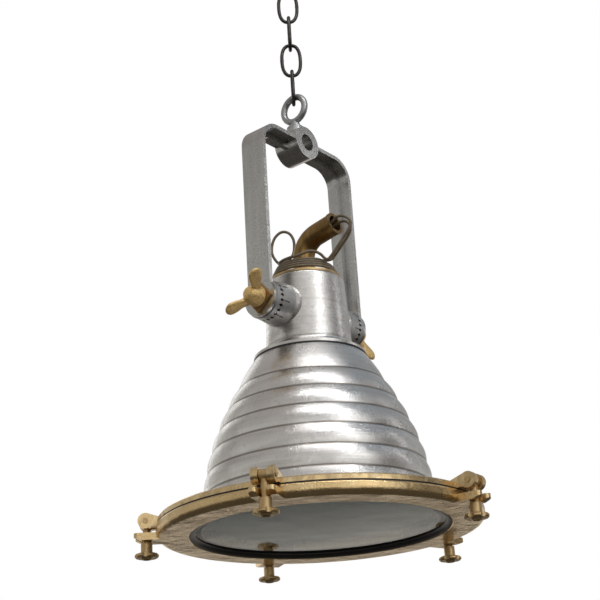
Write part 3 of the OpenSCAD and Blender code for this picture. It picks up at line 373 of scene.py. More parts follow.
def polished_aluminium(name, seed=0.0, rings=0.0, enamel_and_painted_shade=False):
    """Polished aluminium with tarnish, hairlines, soft dents and painted shade in its corners; the shade is enamel
    inside, painted dark grey for the shade within, with painted shadow along its grooves
    """
    colours = bpy.context.scene.lamp_colours
    made, g, shader = new_material(name)
    patches = place_group(g, "Blotches", Scale=9.0, Balance=0.54, Seed=seed)
    small = place_group(g, "Blotches", Scale=34.0, Balance=0.58, Seed=seed + 4.0)
    hairs = place_group(g, "Fine scratches", Scale=26.0, Amount=0.6)
    skin = g.mix(g.math("MULTIPLY", patches["Patch"], 0.45), colours.polished, colours.tarnish)
    skin = g.mix(g.math("MULTIPLY", small["Patch"], 0.35), skin, (0.52, 0.47, 0.42))
    skin = g.mix(g.math("MULTIPLY", patches["Speck"], 0.35), skin, (0.28, 0.25, 0.22))
    # Painted shade: darkens the piece's own corners and holes
    skin = g.mix(g.math("MULTIPLY", crevice_shade(g), 0.6), skin, (0.20, 0.185, 0.17))
    if enamel_and_painted_shade:
        # Painted shadow along the grooves between the ribs
        skin = g.mix(groove_shadow(g, small["Patch"]), skin, (0.16, 0.135, 0.11))
    if rings:
        lines = g.step(place_group(g, "Turned rings", Pitch=rings * 0.3)["Height"], 0.48, 0.66)
        skin = g.mix(g.math("MULTIPLY", lines, 0.35), skin, (0.46, 0.43, 0.40))
    rough = g.blend(patches["Patch"], 0.20, 0.30)
    rough = g.math("ADD", rough, g.math("MULTIPLY", hairs["Mask"], 0.08))
    rough = g.math("ADD", rough, g.math("MULTIPLY", patches["Streak"], 0.07))
    metal = 1.0
    if enamel_and_painted_shade:
        # The inside is enamel, painted dark grey to stand in for the shade inside the closed lamp
        inner = inward_mask(g)
        skin = g.mix(inner, skin, (0.34, 0.36, 0.335))
        rough = g.blend(inner, rough, 0.32)
        metal = g.math("SUBTRACT", 1.0, inner)
    g.feed(shader.inputs["Base Color"], skin)
    g.feed(shader.inputs["Roughness"], rough)
    g.feed(shader.inputs["Metallic"], metal)
    dents = bump(g, shader, g.noise(g.place((1, 1, 1), (seed, 0, 0)), 14.0, 2), 0.0005, 0.5)
    if rings:
        dents = bump(g, shader, place_group(g, "Turned rings", Pitch=rings)["Height"], 0.00012, 0.6, dents)
    bump(g, shader, hairs["Height"], 0.00006, 0.5, dents)
    return made


def groove_shadow(g, patches):
    """Painted shadow along the grooves between the shade's ribs"""
    height = g.node("ShaderNodeSeparateXYZ", {0: g.place()}).outputs["Z"]
    first = SHADE_TOP - RIB_START
    ribs = g.math("DIVIDE", g.math("SUBTRACT", first, height), RIB_PITCH)
    away = g.math("MULTIPLY", g.math("ABSOLUTE", g.math("SUBTRACT", g.math("FRACT", g.math("ADD", ribs, 0.5)), 0.5)),
                  RIB_PITCH)
    line = g.math("SUBTRACT", 1.0, g.step(away, 0.4 * MM, 2.2 * MM))
    below = g.step(height, first + 3 * MM, first + 1 * MM)
    return g.math("MULTIPLY", g.math("MULTIPLY", line, below), g.blend(patches, 0.85, 0.5))


def inward_mask(g):
    """1 where a surface of a bell faces the Z axis, such as the inside of the shade"""
    geometry = g.node("ShaderNodeNewGeometry").outputs
    outward = g.node("ShaderNodeVectorMath", {0: g.place(), 1: (1.0, 1.0, 0.0)}, operation="MULTIPLY").outputs[0]
    outward = g.node("ShaderNodeVectorMath", {0: outward}, operation="NORMALIZE").outputs[0]
    local = g.node("ShaderNodeVectorTransform", {0: geometry["Normal"]}, vector_type="NORMAL",
                   convert_from="WORLD", convert_to="OBJECT").outputs[0]
    facing = g.node("ShaderNodeVectorMath", {0: outward, 1: local}, operation="DOT_PRODUCT").outputs["Value"]
    return g.math("SUBTRACT", 1.0, g.step(facing, -0.12, -0.04))


def cast_aluminium(name, pale=0.0, rough=0.19):
    """Grey cast aluminium with grain, pits, dull patches, rubbed edges and painted shade in its corners; pale
    lightens it
    """
    colours = bpy.context.scene.lamp_colours
    made, g, shader = new_material(name)
    cast = place_group(g, "Cast skin", Grain=900.0, Pits=230.0)
    patches = place_group(g, "Blotches", Scale=16.0, Balance=0.50, Seed=7.0)
    edges = place_group(g, "Edge wear", Radius=0.0016, Break_up=90.0)
    skin = g.mix(g.math("MULTIPLY", patches["Patch"], 0.45 - 0.25 * pale), colours.cast, (0.36, 0.34, 0.32))
    skin = g.mix(g.math("MULTIPLY", patches["Streak"], 0.35 + 0.5 * pale), skin, (0.70, 0.69, 0.67))
    skin = g.mix(g.math("MULTIPLY", cast["Pit"], 0.6), skin, (0.14, 0.13, 0.12))
    # Painted shade: near black in the piece's own corners and holes
    skin = g.mix(g.math("MULTIPLY", crevice_shade(g), 0.85), skin, (0.05, 0.047, 0.043))
    skin = g.mix(g.math("MULTIPLY", edges["Edge"], 0.7), skin, (0.78, 0.78, 0.77))
    dull = g.blend(patches["Patch"], rough, rough + 0.14)
    g.feed(shader.inputs["Base Color"], skin)
    g.feed(shader.inputs["Roughness"], g.math("SUBTRACT", dull, g.math("MULTIPLY", edges["Edge"], 0.08)))
    shader.inputs["Metallic"].default_value = 1.0
    bump(g, shader, cast["Height"], 0.00016, 0.35)
    return made


def aged_brass(name, seed=0.0, age=0.5, rough=0.22, cast=0.35, pale=0.3, waves=1.6 * MM, dull=0.0,
               base=None):
    """Brass with brown patina in patches, painted shade in its corners and holes, and clean rubbed edges

    pale adds light streaks, waves is the depth of the soft unevenness, dull takes the metal's shine, and
    base is another clean colour.
    """
    colours = bpy.context.scene.lamp_colours
    made, g, shader = new_material(name)
    skin_marks = place_group(g, "Cast skin", Grain=620.0, Pits=210.0)
    patches = place_group(g, "Blotches", Scale=15.0, Balance=0.62 - 0.24 * age, Seed=seed)
    small = place_group(g, "Blotches", Scale=48.0, Balance=0.64 - 0.2 * age, Seed=seed + 5.0)
    hairs = place_group(g, "Fine scratches", Scale=30.0, Amount=0.5)
    edges = place_group(g, "Edge wear", Radius=0.0012, Break_up=120.0)
    skin = g.mix(g.math("MULTIPLY", patches["Patch"], 0.45 + 0.4 * age), base or colours.brass, colours.patina)
    skin = g.mix(g.math("MULTIPLY", small["Patch"], 0.5 * age + 0.1), skin, (0.40, 0.24, 0.09))
    skin = g.mix(g.blend(patches["Streak"], pale * 0.5, pale), skin, (0.88, 0.72, 0.46))
    grains = g.step(g.noise(g.place(), 520.0, 3, 0.6), 0.50, 0.64)
    skin = g.mix(g.math("MULTIPLY", grains, min(0.12 + 0.25 * cast, 0.5)), skin, colours.patina)
    # Painted shade: near black in the piece's own corners and holes
    skin = g.mix(g.math("MULTIPLY", crevice_shade(g), 0.9), skin, (0.035, 0.020, 0.010))
    skin = g.mix(g.math("MULTIPLY", edges["Edge"], 0.55), skin, (0.84, 0.63, 0.34))
    gloss = g.math("ADD", g.blend(patches["Patch"], rough, rough + 0.2), g.math("MULTIPLY", hairs["Mask"], 0.07))
    g.feed(shader.inputs["Base Color"], skin)
    g.feed(shader.inputs["Roughness"], gloss)
    g.feed(shader.inputs["Metallic"], g.blend(small["Patch"], 1.0 - dull, 0.86 - dull))
    soft = bump(g, shader, g.noise(g.place((1, 1, 1), (0, seed, 0)), 30.0, 3), waves, 0.5)
    soft = bump(g, shader, skin_marks["Height"], 0.0005, cast, soft)
    bump(g, shader, hairs["Height"], 0.00005, 0.5, soft)
    return made


def brown_bronze(name):
    """Dark brown bronze pipe with ochre rubbing, dull crust and painted shade in its corners"""
    colours = bpy.context.scene.lamp_colours
    made, g, shader = new_material(name)
    cast = place_group(g, "Cast skin", Grain=520.0, Pits=260.0)
    patches = place_group(g, "Blotches", Scale=26.0, Balance=0.52, Seed=11.0)
    edges = place_group(g, "Edge wear", Radius=0.0014, Break_up=140.0)
    skin = g.mix(g.math("MULTIPLY", patches["Patch"], 0.6), colours.bronze, (0.13, 0.075, 0.03))
    skin = g.mix(g.math("MULTIPLY", patches["Streak"], 0.45), skin, (0.50, 0.34, 0.14))
    # Painted shade: dark brown in the piece's own corners and holes
    skin = g.mix(g.math("MULTIPLY", crevice_shade(g), 0.7), skin, (0.05, 0.032, 0.016))
    skin = g.mix(g.math("MULTIPLY", edges["Edge"], 0.85), skin, (0.75, 0.62, 0.45))
    g.feed(shader.inputs["Base Color"], skin)
    g.feed(shader.inputs["Roughness"], g.blend(patches["Patch"], 0.26, 0.46))
    shader.inputs["Metallic"].default_value = 0.95
    bump(g, shader, cast["Height"], 0.0007, 0.6)
    return made


def black_iron(name):
    """Blackened steel wire with a little rust and worn spots"""
    colours = bpy.context.scene.lamp_colours
    made, g, shader = new_material(name)
    patches = place_group(g, "Blotches", Scale=60.0, Balance=0.60, Seed=2.0)
    cast = place_group(g, "Cast skin", Grain=1400.0, Pits=500.0)
    skin = g.mix(g.math("MULTIPLY", patches["Patch"], 0.5), colours.iron, (0.14, 0.085, 0.055))
    skin = g.mix(g.math("MULTIPLY", patches["Streak"], 0.3), skin, (0.20, 0.195, 0.19))
    g.feed(shader.inputs["Base Color"], skin)
    g.feed(shader.inputs["Roughness"], g.blend(patches["Patch"], 0.34, 0.6))
    shader.inputs["Metallic"].default_value = 0.8
    bump(g, shader, cast["Height"], 0.0003, 0.6)
    return made


def galvanised(name):
    """Galvanised steel: dull grey with a faint spangle"""
    colours = bpy.context.scene.lamp_colours
    made, g, shader = new_material(name)
    cells = g.node("ShaderNodeTexVoronoi", {"Vector": g.place(), "Scale": 260.0}).outputs["Color"]
    tone = g.node("ShaderNodeSeparateXYZ", {0: cells}).outputs["X"]
    patches = place_group(g, "Blotches", Scale=50.0, Balance=0.55, Seed=3.0)
    skin = g.mix(g.math("MULTIPLY", tone, 0.5), colours.zinc, (0.36, 0.37, 0.38))
    skin = g.mix(g.math("MULTIPLY", patches["Patch"], 0.35), skin, (0.25, 0.24, 0.22))
    g.feed(shader.inputs["Base Color"], skin)
    g.feed(shader.inputs["Roughness"], g.math("ADD", 0.30, g.math("MULTIPLY", tone, 0.2)))
    shader.inputs["Metallic"].default_value = 0.9
    bump(g, shader, g.noise(g.place(), 500.0, 4), 0.0004, 0.5)
    return made


def machined_steel(name):
    """Plain steel of screws, studs and brackets"""
    made, g, shader = new_material(name)
    patches = place_group(g, "Blotches", Scale=70.0, Balance=0.56, Seed=9.0)
    skin = g.mix(g.math("MULTIPLY", patches["Patch"], 0.5), (0.56, 0.56, 0.55), (0.30, 0.27, 0.23))
    g.feed(shader.inputs["Base Color"], skin)
    g.feed(shader.inputs["Roughness"], g.blend(patches["Patch"], 0.25, 0.45))
    shader.inputs["Metallic"].default_value = 1.0
    bump(g, shader, g.noise(g.place((1, 1, 8)), 900.0, 3), 0.0002, 0.5)
    return made


def black_rubber(name, rough=0.42):
    """Black moulded rubber with a chalky bloom"""
    made, g, shader = new_material(name)
    patches = place_group(g, "Blotches", Scale=40.0, Balance=0.60, Seed=5.0)
    skin = g.mix(g.math("MULTIPLY", patches["Patch"], 0.4), (0.012, 0.013, 0.013), (0.05, 0.05, 0.048))
    g.feed(shader.inputs["Base Color"], skin)
    g.feed(shader.inputs["Roughness"], g.blend(patches["Patch"], rough, rough + 0.2))
    bump(g, shader, g.noise(g.place(), 800.0, 4), 0.0003, 0.5)
    return made


def lens_material(name):
    """Thick clear glass, slightly green, with faint waves and dusty smears"""
    colours = bpy.context.scene.lamp_colours
    made, g, shader = new_material(name)
    smears = g.step(g.noise(g.place((1, 3, 1)), 7.0, 5, 0.6), 0.42, 0.75)
    g.feed(shader.inputs["Base Color"], g.mix(g.math("MULTIPLY", smears, 0.12), colours.glass, (0.6, 0.62, 0.58)))
    g.feed(shader.inputs["Roughness"], g.blend(smears, 0.02, 0.10))
    shader.inputs["Transmission Weight"].default_value = 1.0
    shader.inputs["IOR"].default_value = 1.5
    bump(g, shader, g.noise(g.place(), 9.0, 2), 0.0008, 0.35)
    return made


def bulb_material(name):
    """Thin lamp glass"""
    made, g, shader = new_material(name)
    film = g.step(g.noise(g.place(), 30.0, 4), 0.4, 0.8)
    g.feed(shader.inputs["Base Color"], g.mix(film, (0.96, 0.96, 0.94), (0.86, 0.86, 0.82)))
    g.feed(shader.inputs["Roughness"], g.blend(film, 0.04, 0.14))
    shader.inputs["Transmission Weight"].default_value = 1.0
    shader.inputs["IOR"].default_value = 1.46
    bump(g, shader, g.noise(g.place(), 40.0, 2), 0.0002, 0.3)
    return made


def glazed_porcelain(name):
    """White glazed porcelain with a few grey specks"""
    made, g, shader = new_material(name)
    patches = place_group(g, "Blotches", Scale=45.0, Balance=0.62, Seed=6.0)
    skin = g.mix(g.math("MULTIPLY", patches["Speck"], 0.6), (0.78, 0.76, 0.71), (0.40, 0.37, 0.32))
    g.feed(shader.inputs["Base Color"], g.mix(g.math("MULTIPLY", patches["Patch"], 0.25), skin, (0.62, 0.58, 0.50)))
    g.feed(shader.inputs["Roughness"], g.blend(patches["Patch"], 0.12, 0.26))
    shader.inputs["Coat Weight"].default_value = 0.4
    bump(g, shader, g.noise(g.place(), 80.0, 2), 0.0004, 0.4)
    return made


def lead_insulation(name):
    """Aged brown insulation with dirt, dull wear and fine wrinkles"""
    colours = bpy.context.scene.lamp_colours
    made, g, shader = new_material(name)
    patches = place_group(g, "Blotches", Scale=40.0, Balance=0.52, Seed=8.0)
    settled = place_group(g, "Dust", Amount=0.35)
    skin = g.mix(g.math("MULTIPLY", patches["Patch"], 0.55), colours.lead, (0.10, 0.072, 0.042))
    skin = g.mix(g.math("MULTIPLY", patches["Streak"], 0.35), skin, (0.34, 0.285, 0.20))
    skin = g.mix(settled["Mask"], skin, (0.42, 0.38, 0.31))
    g.feed(shader.inputs["Base Color"], skin)
    g.feed(shader.inputs["Roughness"], g.blend(patches["Patch"], 0.34, 0.55))
    bump(g, shader, g.noise(g.place((1, 1, 2)), 420.0, 4), 0.0005, 0.5)
    return made


def bare_copper(name):
    """Stripped copper strands, twisted"""
    made, g, shader = new_material(name)
    patches = place_group(g, "Blotches", Scale=120.0, Balance=0.5, Seed=12.0)
    g.feed(shader.inputs["Base Color"], g.mix(patches["Patch"], (0.72, 0.36, 0.20), (0.33, 0.15, 0.08)))
    g.feed(shader.inputs["Roughness"], g.blend(patches["Patch"], 0.25, 0.45))
    shader.inputs["Metallic"].default_value = 1.0
    bump(g, shader, g.noise(g.place(), 900.0, 3), 0.0003, 0.6)
    return made


def finish_node(node, material, edge=None, segments=2):
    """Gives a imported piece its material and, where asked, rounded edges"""
    piece = NODES[node]
    if not piece.material_slots:
        piece.data.materials.append(material)
    for slot in piece.material_slots:
        slot.material = material
    if edge:
        rounding = piece.modifiers.new("Edge", "BEVEL")
        rounding.width = edge
        rounding.segments = segments
        rounding.limit_method = "ANGLE"
        rounding.angle_limit = math.radians(35)
        rounding.use_clamp_overlap = True
        rounding.harden_normals = True
    return piece


def new_piece(name, mesh, material, body, *replaced):
    """A modelled piece on a body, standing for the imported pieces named"""
    made = bpy.data.objects.new(name, mesh)
    bpy.context.scene.collection.objects.link(made)
    if not made.data.materials:
        made.data.materials.append(material)
    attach(made, body)
    if replaced:
        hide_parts(*replaced)
    return made


def mesh_of(name, work, smooth=True):
    """A mesh from a bmesh, with its normals outward"""
    bmesh.ops.recalc_face_normals(work, faces=work.faces)
    mesh = bpy.data.meshes.new(name)
    work.to_mesh(mesh)
    work.free()
    mesh.polygons.foreach_set("use_smooth", [smooth] * len(mesh.polygons))
    return mesh


def smooth_route(points, parts=6):
    """Points of a smooth curve through the given ones, by the rule of even chords"""
    ends = [2 * points[0] - points[1], *points, 2 * points[-1] - points[-2]]
    made = []
    for before, start, stop, after in zip(ends, ends[1:], ends[2:], ends[3:]):
        for k in range(parts):
            t = k / parts
            made.append(0.5 * (2 * start + (stop - before) * t
                               + (2 * before - 5 * start + 4 * stop - after) * t ** 2
                               + (3 * start - before - 3 * stop + after) * t ** 3))
    return [*made, points[-1]]


def wire_curve(name, points, diameter):
    """A curve of one open spline, thickened to a wire"""
    curve = bpy.data.curves.new(name, "CURVE")
    curve.dimensions = "3D"
    curve.bevel_depth = diameter / 2
    curve.bevel_resolution = 5
    curve.use_fill_caps = True
    spline = curve.splines.new("POLY")
    spline.points.add(len(points) - 1)
    for point, place in zip(spline.points, points):
        point.co = (*place, 1)
    spline.use_smooth = True
    return curve


def sweep(work, path, radii, sides=16):
    """Adds a closed tube round a closed path to a bmesh; radii give its thickness at each point"""
    count = len(path)
    across = Vector((0, 1, 0))
    rings = []
    for index, place in enumerate(path):
        along = (path[(index + 1) % count] - path[index - 1]).normalized()
        out = along.cross(across).normalized()
        ring = []
        for side in range(sides):
            turn = 2 * math.pi * side / sides
            ring.append(work.verts.new(place + radii[index] * (math.cos(turn) * out + math.sin(turn) * across)))
        rings.append(ring)
    for index in range(count):
        here, there = rings[index], rings[(index + 1) % count]
        for side in range(sides):
            other = (side + 1) % sides
            work.faces.new((here[side], there[side], there[other], here[other]))


def chain_link_mesh(name, centre, turn, half_width, half_height, wire):
    """An oval forged link with its weld on one side"""
    work = bmesh.new()
    count = 96
    fullness = 2.5
    path, radii = [], []
    for index in range(count):
        angle = 2 * math.pi * index / count
        c, s = math.cos(angle), math.sin(angle)
        x = half_width * math.copysign(abs(c) ** (2 / fullness), c)
        z = half_height * math.copysign(abs(s) ** (2 / fullness), s)
        path.append(Vector((x, 0, z)))
        weld = math.exp(-((z / (1.6 * MM)) ** 2)) if x > 0 else 0.0
        radii.append(wire / 2 * (1 + 0.09 * weld))
    sweep(work, path, radii)
    work.transform(Matrix.Translation(centre) @ Matrix.Rotation(turn, 4, "Z"))
    return mesh_of(name, work)


def lathe(work, profile, sides=64, matrix=Matrix.Identity(4)):
    """Adds a turned solid to a bmesh; profile is (radius, height) points, both ends on the axis"""
    rings = []
    for radius, height in profile:
        if radius == 0:
            rings.append([work.verts.new(matrix @ Vector((0, 0, height)))])
        else:
            rings.append([work.verts.new(matrix @ Vector((radius * math.cos(a), radius * math.sin(a), height)))
                          for a in (2 * math.pi * side / sides for side in range(sides))])
    for low, high in zip(rings, rings[1:]):
        for side in range(sides):
            other = (side + 1) % sides
            corners = [low[side % len(low)], low[other % len(low)], high[other % len(high)], high[side % len(high)]]
            work.faces.new(list(dict.fromkeys(corners)))


def melted(mesh, voxel, smooth):
    """A mesh joined into one skin by voxels, then smoothed, as a sand casting is"""
    carrier = bpy.data.objects.new("Casting pattern", mesh)
    bpy.context.scene.collection.objects.link(carrier)
    join = carrier.modifiers.new("Join", "REMESH")
    join.mode = "VOXEL"
    join.voxel_size = voxel
    soften = carrier.modifiers.new("Soften", "SMOOTH")
    soften.factor = 0.5
    soften.iterations = smooth
    seen = carrier.evaluated_get(bpy.context.evaluated_depsgraph_get())
    cast = bpy.data.meshes.new_from_object(seen)
    cast.polygons.foreach_set("use_smooth", [True] * len(cast.polygons))
    bpy.data.objects.remove(carrier)
    return cast


def wing_nut_mesh(name, side, turn):
    """A cast wing nut: domed hub and two ears that lean outward"""
    work = bmesh.new()
    hub = [(6.1, 0), (13.6, 0), (14, 0.6), (14, 2.2), (12.9, 7), (11.6, 12), (10, 16), (7.4, 19.3),
           (4, 21), (0, 21.5), (0, 17.6), (6.1, 17.6), (6.1, 0)]
    closed = [(0, 0), *[(r * MM, h * MM) for r, h in hub[1:10]]]
    lathe(work, closed, 48)
    # Along an ear: distance from the axis, height, half width and half thickness
    ear = [(7.0, 8.0, 7.2, 4.8), (11.0, 12.0, 6.6, 4.3), (15.0, 16.0, 6.6, 4.0), (18.5, 19.2, 7.4, 3.9),
           (21.5, 21.8, 8.7, 3.9), (24.0, 24.0, 9.4, 3.9), (26.0, 26.0, 9.5, 3.9)]
    for half in (0, math.pi):
        for (r0, h0, w0, t0), (r1, h1, w1, t1) in zip(ear, ear[1:]):
            for k in range(4):
                f = (k + 1) / 4
                radius, height = r0 + (r1 - r0) * f, h0 + (h1 - h0) * f
                width, thick = w0 + (w1 - w0) * f, t0 + (t1 - t0) * f
                shape = Matrix.Rotation(half, 4, "Z") @ Matrix.Translation((radius * MM, 0, height * MM))
                shape = shape @ Matrix.Diagonal((width * MM, thick * MM, width * MM, 1))
                bmesh.ops.create_uvsphere(work, u_segments=24, v_segments=16, radius=1, matrix=shape)
    cast = melted(mesh_of(name, work), 0.6 * MM, 5)
    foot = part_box(f"wing_nut_{'right' if side > 0 else 'left'}")[0 if side > 0 else 1][0]
    upright = Matrix.Rotation(math.radians(90 * side), 4, "Y")
    spin = Matrix.Rotation(turn, 4, "X")
    cast.transform(Matrix.Translation((foot, 0, PIVOT.z)) @ spin @ upright)
    cast.name = name
    return cast


# One operator for each group of pieces

class LampOperator:
    """What the lamp's operators share"""

    bl_options = {"REGISTER", "UNDO"}

    def execute(self, context):
        self.make(context.scene)
        return {"FINISHED"}


class LAMP_OT_camera(LampOperator, bpy.types.Operator):
    """Sets the camera where the photograph was taken from"""

    bl_idname = "lamp.camera"
    bl_label = "Camera"

    def make(self, scene):
        place = Vector((-1.219377, -0.974773, -1.113095))
        yaw, pitch, roll = (math.radians(a) for a in (-51.059, 22.156, -3.52))
        ahead = Vector((-math.sin(yaw) * math.cos(pitch), math.cos(yaw) * math.cos(pitch), math.sin(pitch)))
        level = Vector((math.cos(yaw), math.sin(yaw), 0))
        upward = level.cross(ahead)
        right = math.cos(roll) * level + math.sin(roll) * upward
        above = math.cos(roll) * upward - math.sin(roll) * level
        camera = bpy.data.objects.new("Camera", bpy.data.cameras.new("Camera"))
        camera.data.lens = scene.lamp_stage.lens
        camera.data.sensor_width = 36
        camera.data.clip_start = 0.05
        camera.data.clip_end = 50
        turn = Matrix((right, above, -ahead)).transposed()
        camera.matrix_world = Matrix.Translation(place) @ turn.to_4x4()
        scene.collection.objects.link(camera)
        scene.camera = camera


class LAMP_OT_leads(LampOperator, bpy.types.Operator):
    """Lays the two leads from the terminal block through the elbow to the top plate"""

    bl_idname = "lamp.leads"
    bl_label = "Leads"

    def make(self, scene):
        sizes = scene.lamp_sizes
        skin = lead_insulation("Lead insulation")
        copper = bare_copper("Bare copper")
        block_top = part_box("terminal_block")[1][2]
        coil = self.coil(sizes)
        first = [self.above_plate(p) for p in FIRST_LEAD]
        second = [self.above_plate(p) for p in SECOND_LEAD]
        self.lead("First_lead", block_top, [*first, *coil], sizes.lead, skin, copper,
                  "coiled", "lead_first", "lead_coil")
        self.lead("Second_lead", block_top, second, sizes.lead, skin, copper, "loose", "lead_second")

    @staticmethod
    def above_plate(point):
        return Vector((point[0] * MM, point[1] * MM, point[2] * MM + PLATE_TOP))

    @staticmethod
    def coil(sizes):
        """Points of the coil from its top end down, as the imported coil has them"""
        low = PLATE_TOP + sizes.lead / 2 + 0.3 * MM
        steps = 24
        points = []
        for index in range(sizes.coil_turns * steps + 1):
            turns = index / steps
            left = sizes.coil_turns - turns
            radius = sizes.coil_radius - sizes.coil_draw * left
            angle = sizes.coil_start - 2 * math.pi * turns
            points.append(Vector((radius * math.cos(angle), radius * math.sin(angle),
                                  low + sizes.coil_rise * left)))
        return points

    @staticmethod
    def lead(name, block_top, points, diameter, skin, copper, lay, *nodes):
        start = Vector((points[0].x, 0, block_top))
        middle = start.lerp(points[0], 0.5)
        route = smooth_route([start, middle, *points], 5)
        piece = new_piece(name, wire_curve(name, route, diameter), skin, "head", *nodes)
        ahead = (route[-1] - route[-2]).normalized()
        tip_route = [route[-1] - ahead * 1 * MM, route[-1] + ahead * 5 * MM]
        tip = new_piece(f"{name}_bare_end", wire_curve(f"{name}_bare_end", tip_route, diameter * 0.5),
                        copper, "head")


class LAMP_OT_chain(LampOperator, bpy.types.Operator):
    """Makes the oval links and finishes the eyebolt"""

    bl_idname = "lamp.chain"
    bl_label = "Chain and eyebolt"

    def make(self, scene):
        iron = black_iron("Blackened steel")
        bodies = ("top_link", "second_link", "third_link", "bottom_link")
        wire = 5 * MM
        for number, body in enumerate(bodies, 1):
            node = f"chain_link_{number}"
            low, high = (Vector(corner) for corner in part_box(node))
            turn = math.radians(-50 + 90 * (number - 1))
            mesh = chain_link_mesh(node + "_forged", (low + high) / 2, turn, 13 * MM,
                                   (high.z - low.z - wire) / 2, wire)
            new_piece(node + "_forged", mesh, iron, body, node)
        finish_node("eyebolt", galvanised("Galvanised steel"), scene.lamp_sizes.edge)


class LAMP_OT_yoke(LampOperator, bpy.types.Operator):
    """Finishes the yoke and its serrated discs as castings"""

    bl_idname = "lamp.yoke"
    bl_label = "Yoke"

    def make(self, scene):
        finish_node("yoke", cast_aluminium("Cast aluminium"), scene.lamp_sizes.edge * 1.4, 3)
        disc = cast_aluminium("Disc aluminium", 0.7, 0.38)
        finish_node("yoke_rosette_left", disc, 0.35 * MM)
        finish_node("yoke_rosette_right", disc, 0.35 * MM)
        washer = aged_brass("Washer brass", 51.0, 1.0, 0.42, 1.0, pale=0.0)
        finish_node("pivot_washer_left", washer, 0.3 * MM)
        finish_node("pivot_washer_right", washer, 0.3 * MM)


class LAMP_OT_tilt_joints(LampOperator, bpy.types.Operator):
    """Makes the wing nuts and finishes the studs and the discs of the neck"""

    bl_idname = "lamp.tilt_joints"
    bl_label = "Tilt joints"

    def make(self, scene):
        brass = aged_brass("Wing nut brass", 21.0, 0.2, 0.36, 1.6, pale=0.0, dull=0.5, base=(1.0, 0.70, 0.30))
        for side, word, turn in ((-1, "left", 51), (1, "right", 165)):
            # The ears of the mesh lie along its X, which the upright turn brings to -Z or +Z
            spin = math.radians(turn)
            mesh = wing_nut_mesh(f"wing_nut_{word}_cast", side, spin)
            piece = new_piece(f"wing_nut_{word}_cast", mesh, brass, f"{word}_wing_nut", f"wing_nut_{word}")
        disc = bpy.data.materials["Disc aluminium"]
        steel = machined_steel("Machined steel")
        for word in ("left", "right"):
            finish_node(f"head_rosette_{word}", disc, 0.35 * MM)
            finish_node(f"pivot_stud_{word}", steel)
        finish_node("stud_nuts", steel, 0.3 * MM)


class LAMP_OT_neck(LampOperator, bpy.types.Operator):
    """Finishes the neck, its top plate and the cable elbow"""

    bl_idname = "lamp.neck"
    bl_label = "Neck and elbow"

    def make(self, scene):
        edge = scene.lamp_sizes.edge
        finish_node("neck_housing", polished_aluminium("Polished neck", 1.0, 700.0), edge)
        brass = aged_brass("Top plate brass", 31.0, 0.6, 0.26)
        finish_node("top_plate", brass, 0.3 * MM)
        finish_node("top_plate_screws", brass)
        bronze = brown_bronze("Brown bronze")
        finish_node("cable_elbow", bronze, 0.4 * MM)
        finish_node("elbow_locknut", bronze, 0.3 * MM)
        rubber = black_rubber("Gasket rubber")
        for node in ("top_gasket", "neck_gasket", "ring_gasket"):
            finish_node(node, rubber)
        finish_node("neck_screws", bpy.data.materials["Machined steel"])


class LAMP_OT_shade(LampOperator, bpy.types.Operator):
    """Finishes the ribbed shade: polished outside with painted shadow in its grooves, and enamel inside painted dark
    grey for the shade within
    """

    bl_idname = "lamp.shade"
    bl_label = "Shade"

    def make(self, scene):
        finish_node("shade", polished_aluminium("Polished shade", 0.0, 420.0, enamel_and_painted_shade=True))
        finish_node("shade_screws", aged_brass("Screw brass", 41.0, 0.5, 0.3), 0.2 * MM)


class LAMP_OT_rings(LampOperator, bpy.types.Operator):
    """Finishes the two brass rings and the pins of the clamps"""

    bl_idname = "lamp.rings"
    bl_label = "Brass rings"

    def make(self, scene):
        edge = scene.lamp_sizes.edge
        ring = aged_brass("Ring brass", 0.0, 0.4, 0.18, pale=0.7)
        finish_node("upper_ring", ring, edge)
        finish_node("bezel_ring", aged_brass("Bezel brass", 13.0, 0.35, 0.17, pale=0.45, waves=4 * MM), edge)
        finish_node("clevis_pins", aged_brass("Pin brass", 17.0, 0.6, 0.3), 0.3 * MM)


class LAMP_OT_clamps(LampOperator, bpy.types.Operator):
    """Finishes the swing bolts and the hand nuts"""

    bl_idname = "lamp.clamps"
    bl_label = "Clamps"

    def make(self, scene):
        bolt = aged_brass("Bolt brass", 23.0, 0.7, 0.3)
        nut = aged_brass("Hand nut brass", 29.0, 0.6, 0.26, 0.5)
        for number in CLAMPS:
            finish_node(f"swing_bolt_{number}", bolt, 0.3 * MM)
            finish_node(f"hand_nut_{number}", nut, 0.5 * MM)


class LAMP_OT_lens(LampOperator, bpy.types.Operator):
    """Finishes the lens, its rubber and its clips"""

    bl_idname = "lamp.lens"
    bl_label = "Lens"

    def make(self, scene):
        finish_node("lens_glass", lens_material("Lens glass"))
        finish_node("lens_gasket", black_rubber("Lens rubber", 0.34), 0.4 * MM)
        # The clips get the near-black colour of rubber
        finish_node("lens_clips", black_rubber("Near-black clips", 0.5), 0.4 * MM)
        finish_node("clip_screws", bpy.data.materials["Machined steel"])


class LAMP_OT_lampholder(LampOperator, bpy.types.Operator):
    """Finishes the lampholder, the bulb and the wiring inside the neck"""

    bl_idname = "lamp.lampholder"
    bl_label = "Lampholder and bulb"

    def make(self, scene):
        porcelain = glazed_porcelain("Glazed porcelain")
        steel = bpy.data.materials["Machined steel"]
        brass = aged_brass("Cap brass", 37.0, 0.3, 0.25)
        for node, material in (
            ("lampholder", porcelain), ("terminal_block", porcelain), ("holder_bracket", steel),
            ("bracket_screws", steel), ("socket_shell", brass), ("socket_contact", brass),
            ("bulb_cap", brass), ("bulb_glass", bulb_material("Bulb glass")),
            ("holder_leads", bpy.data.materials["Lead insulation"]),
        ):
            finish_node(node, material)


